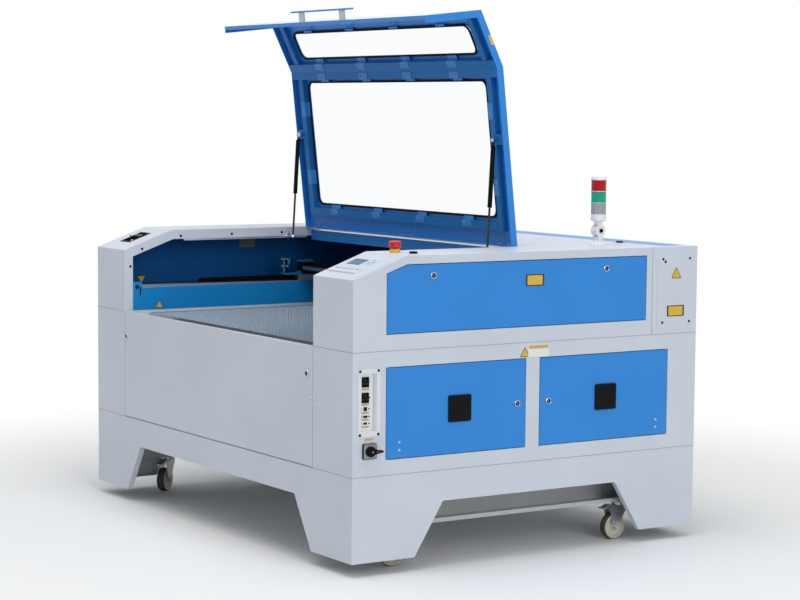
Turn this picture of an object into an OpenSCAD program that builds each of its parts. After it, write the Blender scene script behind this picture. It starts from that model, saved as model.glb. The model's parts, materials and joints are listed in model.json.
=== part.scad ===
// Carbon dioxide laser cutter: a floor-standing cabinet on casters, with a lifting lid over the
// work bed, side consoles, a tube compartment at the rear and a moving gantry with its laser head.
// Millimetres. X runs along the front from left to right, Y from front to rear, Z up from the floor.

/* [Cabinet] */
// Width of the cabinet
body_w = 1880; // [1700:10:2100]
// Depth of the cabinet
body_d = 1410; // [1340:10:1600]
// Height of the skirt's feet over the floor
foot_gap = 45; // [30:1:60]
// Height of the skirt
skirt_h = 278; // [255:1:330]
// Height of the lower cabinet
lower_h = 400; // [380:1:480]
// Height of the upper cabinet
upper_h = 302; // [290:1:340]
// Depth of the rear box that holds the laser tube
rear_box_d = 200; // [180:1:240]
// Thickness of the cabinet's sheet steel
sheet = 2; // [1.5:0.5:3]
// Gap round doors, covers and the lid
gap = 2.5; // [2.2:0.1:4]
// Depth of the folded edge round doors and openings
fold = 14; // [12:1:20]

/* [Consoles] */
// Width of the left console
console_left_w = 235; // [220:1:280]
// Width of the right console
console_right_w = 246; // [230:1:290]
// Drop of the sloping top at the front
slope_drop = 72; // [50:1:90]
// Depth of the sloping top
slope_run = 199; // [180:1:240]
// Width of the lip round each console's inner side
lip_w = 35; // [25:1:45]

/* [Skirt] */
// Width of the front arch at its top
front_arch_w = 1150; // [900:10:1250]
// Width of the side arch at its top
side_arch_w = 712; // [600:2:800]
// Height of the arches
arch_h = 176; // [150:1:190]
// How far an arch's foot spreads on each side
arch_spread = 110; // [80:1:130]
// Depth of the folded edge along arches and feet
skirt_fold = 22; // [14:1:22]

/* [Base frame] */
// Width of the channel beams
beam_w = 80; // [70:1:100]
// Height of the channel beams
beam_h = 100; // [80:1:110]
// Wall of the channel beams
beam_t = 5; // [4:1:8]
// Space between the skirt and the beams
beam_inset = 65; // [60:1:80]

/* [Casters] */
// Height of a caster from the floor to its mounting plate's top
caster_h = 137; // [125:1:145]
// Diameter of the wheels
wheel_d = 90; // [75:1:95]
// Width of the wheels
wheel_w = 30; // [25:1:36]
// Offset of the wheel behind its swivel
trail = 28; // [20:1:28]
// Distance of the swivels from the cabinet's centre, front to rear
caster_y = 458; // [400:2:500]

/* [Lid] */
// Distance of the lid's hinge behind the cabinet's centre
hinge_y = 110; // [80:1:140]
// How far the lid stands open
lid_angle = 83.5; // [60:0.5:88]
// Depth of the lid's edge flanges
lid_flange = 25; // [24:1:45]
// Depth of the lid's flange along its foot
lid_foot = 14; // [10:1:28]
// Distance from the lid's sides to the large window
window_side = 96; // [92:1:140]
// Distance from the hinge to the large window
window_back = 98; // [90:1:110]
// Distance from the knee to the large window
window_front = 45; // [44:1:60]
// Distance from the lid's sides to the small window
small_window_side = 104; // [92:1:140]
// Distance from the knee down the slope to the small window
small_window_back = 55; // [50:1:65]
// Distance from the small window to the lower end of the slope
small_window_front = 50; // [40:1:60]
// Corner radius of both windows
window_r = 28; // [15:1:35]
// Thickness of the acrylic panes
pane_t = 4; // [3:1:6]
// Length of the lid's bar handle
handle_l = 400; // [300:10:600]
// Stand-off of the lid's bar handle
handle_out = 40; // [32:1:50]

/* [Gas struts] */
// Diameter of a strut's cylinder
strut_d = 16; // [15:1:20]
// Diameter of a strut's rod
strut_rod_d = 8; // [6:1:10]
// Length of a strut's cylinder
strut_cyl_l = 210; // [190:1:220]
// Distance of the upper pivot from the hinge along the lid
strut_reach = 370; // [340:1:390]
// Distance of the lower pivot ahead of the hinge
strut_foot = 104; // [95:1:115]

/* [Side doors] */
// Distance of the doors' outer edges from the cabinet's centre
door_edge = 580; // [540:1:600]
// Width of the post between the doors
door_post = 55; // [45:1:80]
// Height of the doors' lower edge over the skirt
door_rise = 49; // [40:1:60]
// Height of the door openings
door_h = 299; // [260:1:310]
// Side of the square vents
vent_s = 88; // [70:1:110]
// Height of the upper panel's opening over the seam
upper_panel_rise = 52; // [45:1:60]
// Height of the upper panel's opening
upper_panel_h = 223; // [200:1:225]
// Rear edge of the upper panel's opening
upper_panel_back = 480; // [440:1:490]

/* [Rear cover] */
// Distance of the cover's front edge from the cabinet's back
cover_d = 115; // [100:1:130]
// Frame left between the cover and the cabinet's back and sides
cover_frame = 12; // [10:1:30]
// Frame left at the cover's two ends
cover_end = 50; // [40:1:80]

/* [Work bed] */
// Height of the table's top below the seam
table_drop = 10; // [8:1:30]
// Thickness of the honeycomb
comb_t = 22; // [18:1:30]
// Height of the table's frame
table_frame_h = 40; // [30:1:50]
// Length of the table, front to rear
table_l = 1080; // [900:10:1100]
// How far the table lowers
table_travel = 230; // [150:5:240]

/* [Gantry] */
// Height of the rail beams
rail_h = 85; // [75:1:105]
// Width of the rail beams
rail_w = 36; // [30:1:40]
// Distance of the parked gantry behind the cabinet's centre
gantry_y = 88; // [60:1:140]
// Width of the cross beam
cross_w = 50; // [40:1:60]
// Height of the cross beam
cross_h = 44; // [36:1:50]
// Place of the laser head along the cross beam
head_x = 340; // [-400:10:500]

/* [Laser tube] */
// Diameter of the laser tube
tube_d = 80; // [60:1:90]
// Length of the laser tube
tube_l = 1600; // [1200:10:1650]

/* [Controls] */
// Width of the control panel
keypad_w = 165; // [150:1:180]
// Length of the control panel along the slope
keypad_l = 115; // [105:1:130]
// Diameter of the emergency stop's red cap
estop_d = 41; // [36:1:46]
// Height of the emergency stop's red cap
estop_h = 21; // [16:1:26]
// Diameter of the start button
start_d = 27; // [22:1:32]
// Side of the main switch's plate
switch_s = 50; // [44:1:56]
// Diameter of the signal tower's lamps
tower_d = 54; // [45:1:60]
// Height of each lamp
lamp_h = 40; // [34:1:45]

/* [Exhaust] */
// Outer diameter of the two duct collars
duct_d = 150; // [120:1:160]
// Length of the duct collars
duct_l = 24; // [18:1:26]

/* [Fits] */
// Running clearance round pins and plugs
pin_gap = 0.08; // [0.05:0.01:0.1]
// Clearance between parts that slide or turn past each other
run_gap = 0.3; // [0.3:0.1:0.8]
// Clearance under the lid's panes
seat = 0.1; // [0.1:0.1:0.5]

/* [Hidden] */
$fn = 40;

// Colours
white = "#d5dbe4";
blue = "#3a8bd6";
deep_blue = "#1f5fa8";
rail_blue = "#1b7fb8";
dark_grey = "#5a5d60";
black = "#16171a";
silver = "#b9bdc2";
brass = "#b98d4a";

// Planes of the cabinet
hw = body_w / 2;
hd = body_d / 2;
z_skirt = foot_gap + skirt_h;
z_seam = z_skirt + lower_h;
z_top = z_seam + upper_h;
z_slope = z_top - slope_drop;
y_knee = slope_run - hd;
y_rear = hd - rear_box_d;
bay_l = console_left_w - hw;
bay_r = hw - console_right_w;
bay_c = (bay_l + bay_r) / 2;
bay_w = bay_r - bay_l;
slope_a = atan(slope_drop / slope_run);
slope_l = norm([slope_drop, slope_run]);

// Frame and casters
caster_x = hw - beam_inset - beam_w / 2;
frame_x = hw - beam_inset;
frame_y = hd - beam_inset;
post_s = 60;
plate_t = 4;
plate_w = 76;
plate_l = 92;
head_r = 26;
head_h = 12;
fork_t = 4;
fork_w = 40;
king_r = 6;
axle_r = 6;
hub_gap = 0.5;
wheel_z = wheel_d / 2;
// Swivel angles of the casters as they stand: front left, front right, rear left, rear right
swivels = [38, -14, 20, 0];

// Lid
lid_l = bay_l + gap;
lid_r = bay_r - gap;
lid_w = lid_r - lid_l;
lid_back = hinge_y - gap;
hinge_r = 5;
hinge_pin_r = 2.5;
knuckle = 26;
hinge_places = [-620, 0, 620];
window_w = lid_w - 2 * window_side;
window_back_y = hinge_y - window_back;
window_front_y = y_knee + window_front;
window_l = window_back_y - window_front_y;
small_window_w = lid_w - 2 * small_window_side;
small_window_l = 2 * round((slope_l - small_window_back - small_window_front) / 2);
stiff_w = 27;
stiff_h = 20;
rear_bar_in = 16;
rear_bar_w = 30;
stiff_out = 22;
bar_top = 33;
bar_slope = 36;
gasket_w = 5;
gasket_t = 4;
clip_w = 56;
clip_t = 1.5;
handle_t = 6;
handle_w = 24;
handle_post_x = 140;
handle_rise = 20;

// Gas struts, worked out with the lid closed and then turned open
strut_x = lid_w / 2 - 35;
strut_up = [hinge_y - strut_reach, z_top - 40];
strut_low = [hinge_y - strut_foot, z_top - 36];
function turned(p, a) = [
    hinge_y + (p[0] - hinge_y) * cos(a) - (p[1] - z_top) * sin(a),
    z_top + (p[0] - hinge_y) * sin(a) + (p[1] - z_top) * cos(a)];
strut_up_open = turned(strut_up, -lid_angle);
strut_v = strut_low - strut_up_open;
strut_len = norm(strut_v);
strut_tilt = atan2(strut_v[0], -strut_v[1]);
eye_r = 8;
eye_w = 10;
stud_r = 5;

// Doors
pin_r = 3;
pin_in = 4;
lock_r = 8;
lock_flange_r = 11;
lock_out = 3;
lock_l = 20;
cam_w = 12;
strike = 12;
cam_t = 2.5;
slot_w = 2;
door_z0 = z_skirt + door_rise;
door_lock_in = 37;
door_lock_z = door_z0 + door_h / 2;
vent_t = 6;
chamfer = [78, 27];
panel_z0 = z_seam + upper_panel_rise;
panel_z1 = panel_z0 + upper_panel_h;
cover_y0 = hd - cover_d;
cover_y1 = hd - cover_frame;

// Work bed and gantry
comb_z1 = z_seam - table_drop;
comb_z0 = comb_z1 - comb_t;
table_gap = 8;
table_y0 = -hd + 40;
screw_r = 10;
nut_r = 20;
bearing_h = 30;
screw_in = 60;
comb_in = 60;
rail_z1 = z_seam + rail_h;
rail_end_t = 4;
rail_t = 4;
idler_l = 33;
idler_rise = 22;
rail_y0 = -hd + lip_w + rail_end_t + 1;
rail_y1 = y_rear - 4;
guide_w = 15;
guide_h = 12;
block_h = 24;
block_l = 70;
cross_z0 = rail_z1 + block_h + 14;
head_rail_h = 12;
head_rail_t = 8;
chain_w = 26;
chain_h = 14;
tray_drop = 15;
chain_gap = 12;

// Rear compartment
tube_y = y_rear + 88;
tube_z = z_seam + 175;

// Control positions: x from the cabinet's right side, y from its front
estop_x = hw - 154;
estop_y = -hd + 254;
estop_travel = 5;
start_x = hw - 49;
start_y = -hd + 257;
start_travel = 3;
switch_y = -hd + 62;
switch_z = foot_gap + 361;
tower_x = hw - 183;
tower_y = 408;
knuckle_z = z_top + 51;
socket_y0 = -hd + 20;
socket_y1 = -hd + 103;
socket_z0 = foot_gap + 408;
socket_z1 = foot_gap + 624;
meter_x0 = -hw + 71;
meter_w = 72;
meter_l = 86;
meter_s = 72;

// A block between two corners
module block(lo, hi) translate(lo) cube(hi - lo);

// An outline in Y and Z, carried along X from a to b
module along_x(a, b) translate([a, 0, 0]) rotate([90, 0, 90]) linear_extrude(b - a) children();

// An outline in X and Z, carried along Y from a to b
module along_y(a, b) translate([0, b, 0]) rotate([90, 0, 0]) linear_extrude(b - a) children();

// An outline in X and Y, carried along Z from a to b
module along_z(a, b) translate([0, 0, a]) linear_extrude(b - a) children();

// Round bars along the three directions
module bar_x(a, b, y, z, r) translate([a, y, z]) rotate([0, 90, 0]) cylinder(h = b - a, r = r);
module bar_y(a, b, x, z, r) translate([x, b, z]) rotate([90, 0, 0]) cylinder(h = b - a, r = r);
module bar_z(a, b, x, y, r) translate([x, y, a]) cylinder(h = b - a, r = r);

// A rectangle with round corners, centred
module rounded(w, h, r) {
    square([w - 2 * r, h], center = true);
    square([w, h - 2 * r], center = true);
    for (sx = [-1, 1], sy = [-1, 1])
        translate([sx * (w / 2 - r), sy * (h / 2 - r)]) circle(r);
}

// Places children on a console's slope: x across, y up the slope, z outwards
module on_slope(x, s) translate([x, -hd, z_slope]) rotate([slope_a, 0, 0])
    translate([0, s, 0]) children();

// Turns what is drawn with the lid closed to the open lid
module lid_open() translate([0, hinge_y, z_top]) rotate([-lid_angle, 0, 0])
    translate([0, -hinge_y, -z_top]) children();

// ---------------------------------------------------------------- skirt and frame

// One wall of the skirt, with its arch
module skirt_outline(length, arch_w) difference() {
    translate([-length / 2, foot_gap]) square([length, skirt_h]);
    polygon([[-arch_w / 2 - arch_spread, foot_gap - 1], [-arch_w / 2, foot_gap + arch_h],
        [arch_w / 2, foot_gap + arch_h], [arch_w / 2 + arch_spread, foot_gap - 1]]);
}

// The strip of an arch's folded edge: the outline within one sheet of the arch
module arch_strip(arch_w) {
    side = sheet * norm([arch_spread, arch_h]) / arch_h;
    difference() {
        polygon([[-arch_w / 2 - arch_spread - side, foot_gap],
            [-arch_w / 2 - side, foot_gap + arch_h + sheet],
            [arch_w / 2 + side, foot_gap + arch_h + sheet], [arch_w / 2 + arch_spread + side, foot_gap]]);
        polygon([[-arch_w / 2 - arch_spread, foot_gap - 1], [-arch_w / 2, foot_gap + arch_h],
            [arch_w / 2, foot_gap + arch_h], [arch_w / 2 + arch_spread, foot_gap - 1]]);
    }
}

module skirt() color(white) {
    corner_x = hw - front_arch_w / 2 - arch_spread;
    corner_y = hd - side_arch_w / 2 - arch_spread;
    for (side = [0, 180]) rotate([0, 0, side]) {
        along_y(-hd, -hd + sheet) skirt_outline(body_w, front_arch_w);
        along_y(-hd, -hd + skirt_fold) arch_strip(front_arch_w);
        along_x(hw - sheet, hw) skirt_outline(body_d, side_arch_w);
        along_x(hw - skirt_fold, hw) arch_strip(side_arch_w);
    }
    // Folded soles of the four feet
    for (sx = [-1, 1], sy = [-1, 1]) scale([sx, sy, 1]) {
        block([hw - corner_x, hd - skirt_fold, foot_gap], [hw, hd, foot_gap + sheet]);
        block([hw - skirt_fold, hd - corner_y, foot_gap], [hw, hd, foot_gap + sheet]);
    }
    // Top flange that the lower cabinet stands on
    along_z(z_skirt - sheet, z_skirt) difference() {
        square([body_w, body_d], center = true);
        square([body_w - 2 * skirt_top_flange, body_d - 2 * skirt_top_flange], center = true);
    }
}
skirt_top_flange = beam_inset + beam_w;

// Two side channels on the casters, with cross tubes
module base_frame() color(dark_grey) {
    z0 = caster_h;
    z1 = z0 + beam_h;
    x1 = frame_x - beam_w;
    for (side = [0, 1]) mirror([side, 0, 0]) {
        difference() {
            union() {
                // Channel along each side, open outwards, with a lip on its lower flange
                block([x1, -frame_y, z0], [frame_x, frame_y, z0 + beam_t]);
                block([x1, -frame_y, z1 - beam_t], [frame_x, frame_y, z1]);
                block([x1, -frame_y, z0], [x1 + beam_t, frame_y, z1]);
                block([frame_x - beam_t, -frame_y, z0], [frame_x, frame_y, z0 + beam_lip]);
                // Mounting plates of the casters
                for (sy = [-1, 1]) translate([caster_x, sy * caster_y, 0])
                    block([-plate_w / 2, -plate_l / 2, z0 - plate_t], [plate_w / 2, plate_l / 2, z0]);
            }
            for (sy = [-1, 1]) bar_z(z0 - plate_t - 1, z0 + beam_t + 1, caster_x, sy * caster_y,
                king_r + pin_gap);
        }
    }
    // Cross tubes on the channels, under the cabinet's floor
    for (y = [-frame_y + post_s / 2, 0, frame_y - post_s / 2]) difference() {
        block([-frame_x, y - post_s / 2, z1], [frame_x, y + post_s / 2, z_skirt - sheet]);
        block([-frame_x - 1, y - post_s / 2 + tube_t, z1 + tube_t],
            [frame_x + 1, y + post_s / 2 - tube_t, z_skirt - sheet - tube_t]);
    }
}
beam_lip = 14;
tube_t = 4;

// ---------------------------------------------------------------- casters

// Places a caster under its corner, turned to its swivel angle
module at_caster(i) translate([(i % 2 == 0 ? -1 : 1) * caster_x, (i < 2 ? -1 : 1) * caster_y, 0])
    rotate([0, 0, swivels[i]]) children();

module caster_fork(i) at_caster(i) {
    top = caster_h - plate_t - run_gap;
    crown_z = top - head_h;
    leg_x = fork_w / 2;
    color(silver) {
        bar_z(top - head_h, top, 0, 0, head_r);
        bar_z(top - head_h, top + plate_t, 0, 0, king_r);
        block([-leg_x, -trail - 8, crown_z - fork_t], [leg_x, head_r, crown_z]);
        // Two legs that narrow down to the axle
        for (side = [0, 1]) mirror([side, 0, 0]) along_x(leg_x - fork_t, leg_x) {
            polygon([[-trail - 11, wheel_z], [-trail - 24, crown_z - fork_t], [head_r - 6, crown_z],
                [head_r - 6, crown_z - 14], [-trail + 11, wheel_z]]);
            translate([-trail, wheel_z]) circle(11);
        }
        // Axle with its heads
        bar_x(-leg_x - 3, leg_x + 3, -trail, wheel_z, axle_r);
        for (side = [0, 1]) mirror([side, 0, 0]) bar_x(leg_x, leg_x + 3, -trail, wheel_z, axle_r + 3);
    }
    // Brake pedal over the trailing edge of the wheel
    color(black) along_x(-leg_x + 6, leg_x - 6) polygon([
        [-trail - 7, crown_z - 0.5], [-trail - 20, crown_z + 3], [-trail - 44, crown_z - 8],
        [-trail - 50, crown_z - 5], [-trail - 52, crown_z - 9], [-trail - 44, crown_z - 13],
        [-trail - 32, crown_z - 10], [-trail - 24, crown_z - 5], [-trail - 7, crown_z - 3.5]]);
}

module caster_wheel(i) color("#c9c6b4") at_caster(i) translate([0, -trail, wheel_z]) rotate([0, 90, 0])
    rotate_extrude() {
        r = wheel_d / 2;
        half = wheel_w / 2;
        hub_half = fork_w / 2 - fork_t - hub_gap;
        polygon([[axle_r + pin_gap, -hub_half], [axle_r + 8, -hub_half], [axle_r + 10, -half + 7],
            [r - 12, -half + 5], [r - 9, -half], [r - 3, -half], [r, -half + 5], [r, half - 5],
            [r - 3, half], [r - 9, half], [r - 12, half - 5], [axle_r + 10, half - 7],
            [axle_r + 8, hub_half], [axle_r + pin_gap, hub_half]]);
    }

// ---------------------------------------------------------------- lower cabinet

// A folded edge round a rectangular opening in a side wall, with the wall at x
module opening_fold_x(x, y0, y1, z0, z1) difference() {
    block([x - fold, y0 - sheet, z0 - sheet], [x, y1 + sheet, z1 + sheet]);
    block([x - fold - 1, y0, z0], [x + 1, y1, z1]);
}

// A box of sheet steel, open at the top, with a flange round its top edge
module sheet_box(lo, hi, flange) difference() {
    block(lo, hi);
    block(lo + [sheet, sheet, sheet], hi - [sheet, sheet, sheet]);
    block(lo + [flange, flange, sheet], [hi[0] - flange, hi[1] - flange, hi[2] + 1]);
}

module lower_left_box() color(white) {
    sheet_box([-hw, -hd, z_skirt], [bay_l, hd, z_seam], rail_w + 4);
    front_door_pin(bay_l);
    front_door_strike(bay_l, bay_l + strike);
}

// The front door's hinge pin, standing out of a box wall at x into the door's end
module front_door_pin(x) bar_x(x - (x > 0 ? gap + fold : 0), x + (x > 0 ? 0 : gap + fold),
    -hd + pin_in, z_skirt + gap + pin_in, pin_r);

// Tab from x0 to x1 that a cam of the front door turns behind
module front_door_strike(x0, x1) block([x0, -hd + lock_l - 5, front_lock_z - 20],
    [x1, -hd + lock_l - 3, front_lock_z + 20]);

module lower_right_box() color(white) {
    door_y = [-door_edge, -door_post / 2, door_post / 2, door_edge];
    difference() {
        union() {
            sheet_box([bay_r, -hd, z_skirt], [hw, hd, z_seam], rail_w + 4);
            for (i = [0, 2]) opening_fold_x(hw, door_y[i], door_y[i + 1], door_z0, door_z0 + door_h);
        }
        for (i = [0, 2])
            block([hw - fold - 1, door_y[i], door_z0], [hw + 1, door_y[i + 1], door_z0 + door_h]);
        // Cut-outs for the socket panel and the main switch's shaft
        block([hw - sheet - 1, socket_y0 + 10, socket_z0 + 14], [hw + 1, socket_y1 - 12, socket_z1 - 12]);
        bar_x(hw - sheet - 1, hw + 1, switch_y, switch_z, lock_r + pin_gap);
    }
    // Hinge pins at the doors' outer edges
    for (sy = [-1, 1]) {
        y = sy * (door_edge - gap - pin_in);
        bar_z(door_z0 - 1, door_z0 + gap + fold, hw - pin_in, y, pin_r);
        bar_z(door_z0 + door_h - gap - fold, door_z0 + door_h + 1, hw - pin_in, y, pin_r);
    }
    front_door_pin(bay_r);
    front_door_strike(bay_r - strike, bay_r);
}

module bay_tub() color(silver) {
    floor_z = z_skirt + sheet;
    difference() {
        union() {
            block([bay_l, -hd + fold + 8, z_skirt], [bay_r, hd, floor_z]);
            block([bay_l, hd - sheet, z_skirt], [bay_r, hd, z_seam]);
        }
        for (x = duct_x) bar_y(hd - sheet - 1, hd + 1, x, duct_z, duct_d / 2 - duct_wall);
    }
    // Lead screws of the table, in their bearing blocks
    for (x = screw_x, y = screw_y) {
        bar_z(floor_z, comb_z0 - 2, x, y, screw_r);
        translate([x, y, 0]) block([-30, -30, floor_z], [30, 30, floor_z + bearing_h]);
    }
}
duct_x = [-300, 300];
duct_z = z_skirt + 230;
duct_wall = 2;
screw_x = [bay_l + table_gap + screw_in, bay_r - table_gap - screw_in];
screw_y = [table_y0 + comb_in / 2, table_y0 + table_l - comb_in / 2];

module duct_collars() color(silver) for (x = duct_x) difference() {
    union() {
        bar_y(hd, hd + duct_l, x, duct_z, duct_d / 2);
        bar_y(hd, hd + 3, x, duct_z, duct_d / 2 + 15);
    }
    bar_y(hd - 1, hd + duct_l + 1, x, duct_z, duct_d / 2 - duct_wall);
}

// ---------------------------------------------------------------- consoles, rear box and roof

// Outline of a console in Y and Z, drawn in by d from its top, slope and front
module console_outline(d, back, bottom) polygon([
    [-hd + d, bottom],
    [-hd + d, z_slope + d * tan(slope_a) - d / cos(slope_a)],
    [y_knee + d * tan(slope_a / 2), z_top - d],
    [back, z_top - d],
    [back, bottom]]);

// A console between its outer side and its open inner side, with a lip round the inner side
module console_shell(x_out, x_in) {
    s = sign(x_in - x_out);
    lo = min(x_out, x_in);
    hi = max(x_out, x_in);
    in_lo = s > 0 ? hi - sheet - 1 : lo - 1;
    difference() {
        along_x(lo, hi) console_outline(0, y_rear, z_seam);
        along_x(lo + sheet, hi - sheet) console_outline(sheet, y_rear + 1, z_seam - 1);
        along_x(in_lo, in_lo + sheet + 2) console_outline(lip_w, y_rear + 1, z_seam - 1);
    }
}

module console_left() color(white) {
    difference() {
        console_shell(-hw, bay_l);
        on_slope(meter_x0, meter_s) block([0, 0, -lip_w], [meter_w, meter_l, 1]);
    }
    strut_stud(bay_l, bay_c - strut_x - eye_w / 2 - run_gap);
}

// The upper side panel's opening, drawn in by d, with its cut front corner
module upper_panel_outline(d) polygon([
    [-door_edge + d, panel_z0 + d], [-door_edge + d, panel_z1 - chamfer[1] - d * 0.6],
    [-door_edge + chamfer[0] + d * 0.6, panel_z1 - d], [upper_panel_back - d, panel_z1 - d],
    [upper_panel_back - d, panel_z0 + d]]);

module console_right() color(white) {
    difference() {
        union() {
            console_shell(hw, bay_r);
            along_x(hw - fold, hw) difference() {
                upper_panel_outline(-sheet);
                upper_panel_outline(0);
            }
        }
        along_x(hw - fold - 1, hw + 1) upper_panel_outline(0);
        bar_z(z_top - sheet - 1, z_top + 1, estop_x, estop_y, lock_r);
        bar_z(z_top - sheet - 1, z_top + 1, start_x, start_y, lock_r);
        on_slope(keypad_x0, keypad_s) block([20, 40, -lip_w], [keypad_w - 20, keypad_l - 20, 1]);
    }
    // Hinge pins of the upper side panel
    for (end = [[-door_edge - 1, -door_edge + gap + fold],
            [upper_panel_back - gap - fold, upper_panel_back + 1]])
        bar_y(end[0], end[1], hw - pin_in, panel_z0 + gap + pin_in, pin_r);
    strut_stud(bay_c + strut_x + eye_w / 2 + run_gap, bay_r);
}
keypad_x0 = bay_r + 20;
keypad_s = 45;

// Ball stud of a strut's foot, from a console's lip at x0 to x1 in rising order
module strut_stud(x0, x1) bar_x(x0, x1, strut_low[0], strut_low[1], stud_r);

module rear_box() color(white) {
    difference() {
        block([-hw, y_rear, z_seam], [hw, hd, z_top]);
        block([-hw + sheet, y_rear + sheet, z_seam + sheet], [hw - sheet, hd - sheet, z_top - sheet]);
        block([-hw + cover_end, cover_y0, z_top - sheet - 1], [hw - cover_end, cover_y1, z_top + 1]);
        // Beam outlet towards the left rail
        bar_y(y_rear - 1, y_rear + sheet + 1, bay_l - 60, tube_z, 20);
    }
    // Folded edge of the cover's opening, with the cover's hinge pins
    difference() {
        block([-hw + cover_end - sheet, cover_y0 - sheet, z_top - fold],
            [hw - cover_end + sheet, cover_y1 + sheet, z_top - sheet / 2]);
        block([-hw + cover_end, cover_y0, z_top - fold - 1], [hw - cover_end, cover_y1, z_top + 1]);
    }
    for (end = [[-hw + cover_end - 1, -hw + cover_end + gap + fold],
            [hw - cover_end - gap - fold, hw - cover_end + 1]])
        bar_x(end[0], end[1], cover_y1 - gap - pin_in, z_top - pin_in, pin_r);
}

// Fixed roof behind the lid, folded down at its front, with the fixed knuckles of the hinges
module roof_plate() color(white) {
    front = hinge_y + gap;
    difference() {
        union() {
            difference() {
                block([bay_l, front, z_top - roof_drop], [bay_r, y_rear, z_top]);
                block([bay_l - 1, front + sheet, z_top - roof_drop - 1],
                    [bay_r + 1, y_rear + 1, z_top - sheet]);
            }
            // Lower edge of the front fold, turned inwards
            block([bay_l, front, z_top - roof_drop], [bay_r, front + fold, z_top - roof_drop + sheet]);
            for (x = hinge_places, side = [-1, 1])
                bar_x(bay_c + x + side * knuckle - knuckle / 2, bay_c + x + side * knuckle + knuckle / 2,
                    hinge_y, z_top, hinge_r);
        }
        for (x = hinge_places) {
            bar_x(bay_c + x - knuckle / 2 - run_gap, bay_c + x + knuckle / 2 + run_gap,
                hinge_y, z_top, hinge_r + 1);
        }
    }
    for (x = hinge_places)
        bar_x(bay_c + x - 1.5 * knuckle, bay_c + x + 1.5 * knuckle, hinge_y, z_top, hinge_pin_r);
}
roof_drop = 52;

// Screwed-on plates: right rear, left rear, left upper, two left lower, and three at the back
plate = 1.5;
module fixed_panels() color(white) {
    rear_y = [y_rear + 22, hd - 14];
    upper_z = [z_seam + 18, z_top - 22];
    for (side = [0, 1]) mirror([side, 0, 0])
        block([hw, rear_y[0], upper_z[0]], [hw + plate, rear_y[1], upper_z[1]]);
    mirror([1, 0, 0]) {
        along_x(hw, hw + plate) upper_panel_outline(-10);
        for (y = [[-door_edge, -door_post / 2], [door_post / 2, door_edge]])
            block([hw, y[0], door_z0], [hw + plate, y[1], door_z0 + door_h]);
    }
    for (x = [[-hw + 30, -hw / 3 - 10], [-hw / 3 + 10, hw / 3 - 10], [hw / 3 + 10, hw - 30]])
        block([x[0], hd, upper_z[0]], [x[1], hd + plate, upper_z[1]]);
    for (side = [0, 1]) mirror([side, 0, 0])
        block([-bay_l + 20, hd, z_skirt + 30], [hw - 20, hd + plate, z_seam - 30]);
}

// Blue lining of the side bays: outer walls beside the rails and the bay's rear wall
module bay_liner() color(deep_blue) {
    top = z_top - sheet - 1;
    z0 = z_seam + sheet;
    for (x = [-hw + liner_l, hw - liner_r - sheet])
        along_x(x, x + sheet) console_outline(sheet + 1, y_rear, z0);
    block([-hw + liner_l, y_rear - sheet, z0], [bay_l - sheet - 0.5, y_rear, top]);
    block([bay_r + sheet + 0.5, y_rear - sheet, z0], [hw - liner_r, y_rear, top]);
}
liner_l = 60;
liner_r = 30;

// ---------------------------------------------------------------- rails, gantry and head

// One rail beam with its guide, on the ledge beside the bay
module y_rail(x0) {
    color(rail_blue) {
        difference() {
            block([x0, rail_y0 + idler_l - sheet, z_seam], [x0 + rail_w, rail_y1, rail_z1]);
            block([x0 + rail_t, rail_y0, z_seam + rail_t],
                [x0 + rail_w - rail_t, rail_y1 + 1, rail_z1 - rail_t]);
        }
        // Bracket of the belt's idler at the front end, slotted on both sides for the belt's tension
        difference() {
            block([x0, rail_y0 - rail_end_t, z_seam],
                [x0 + rail_w, rail_y0 + idler_l, rail_z1 + idler_rise]);
            block([x0 + rail_t, rail_y0, z_seam - 1],
                [x0 + rail_w - rail_t, rail_y0 + idler_l + 1, rail_z1 + idler_rise - rail_t]);
            block([x0 - 1, rail_y0 + idler_l - 10, rail_z1 - 28],
                [x0 + rail_w + 1, rail_y0 + idler_l - 4, rail_z1 + 6]);
        }
        bar_x(x0 + 1, x0 + rail_w - 1, rail_y0 + 12, rail_z1 + 4, 4);
        bar_x(x0 + 9, x0 + rail_w - 9, rail_y0 + 12, rail_z1 + 4, 10);
    }
    color(silver) block([x0 + (rail_w - guide_w) / 2, rail_y0 + idler_l + 4, rail_z1],
        [x0 + (rail_w + guide_w) / 2, rail_y1 - 6, rail_z1 + guide_h]);
}

module y_rails() {
    y_rail(bay_l - rail_w);
    y_rail(bay_r);
    // Tray that carries the cable chain
    color(rail_blue) block([bay_l - rail_w - chain_w - 8, -hd / 2 - 20, rail_z1 - tray_drop - 3],
        [bay_l - rail_w, rail_y1, rail_z1 - tray_drop]);
}

// Cable chain: lower run, round bend and upper run, as one outline along the tray
module cable_chain() color(black) {
    x = bay_l - rail_w - chain_w - 4;
    bend_r = chain_h + chain_gap / 2;
    z0 = rail_z1 - tray_drop + run_gap;
    y0 = gantry_y - 430;
    along_x(x, x + chain_w) {
        translate([y0, z0 + bend_r]) difference() {
            circle(bend_r);
            circle(bend_r - chain_h);
            translate([0, -bend_r - 1]) square([bend_r + 1, 2 * bend_r + 2]);
        }
        translate([y0, z0]) square([gantry_y + 40 - y0, chain_h]);
        translate([y0, z0 + 2 * bend_r - chain_h]) square([gantry_y - 10 - y0, chain_h]);
    }
}

// Carriage block that straddles a guide
module guide_block(x0) difference() {
    block([x0 + 2, gantry_y - block_l / 2, rail_z1 + 4],
        [x0 + rail_w - 2, gantry_y + block_l / 2, rail_z1 + 4 + block_h]);
    block([x0 + (rail_w - guide_w) / 2 - run_gap, gantry_y - block_l, rail_z1],
        [x0 + (rail_w + guide_w) / 2 + run_gap, gantry_y + block_l, rail_z1 + guide_h + run_gap]);
}

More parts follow.
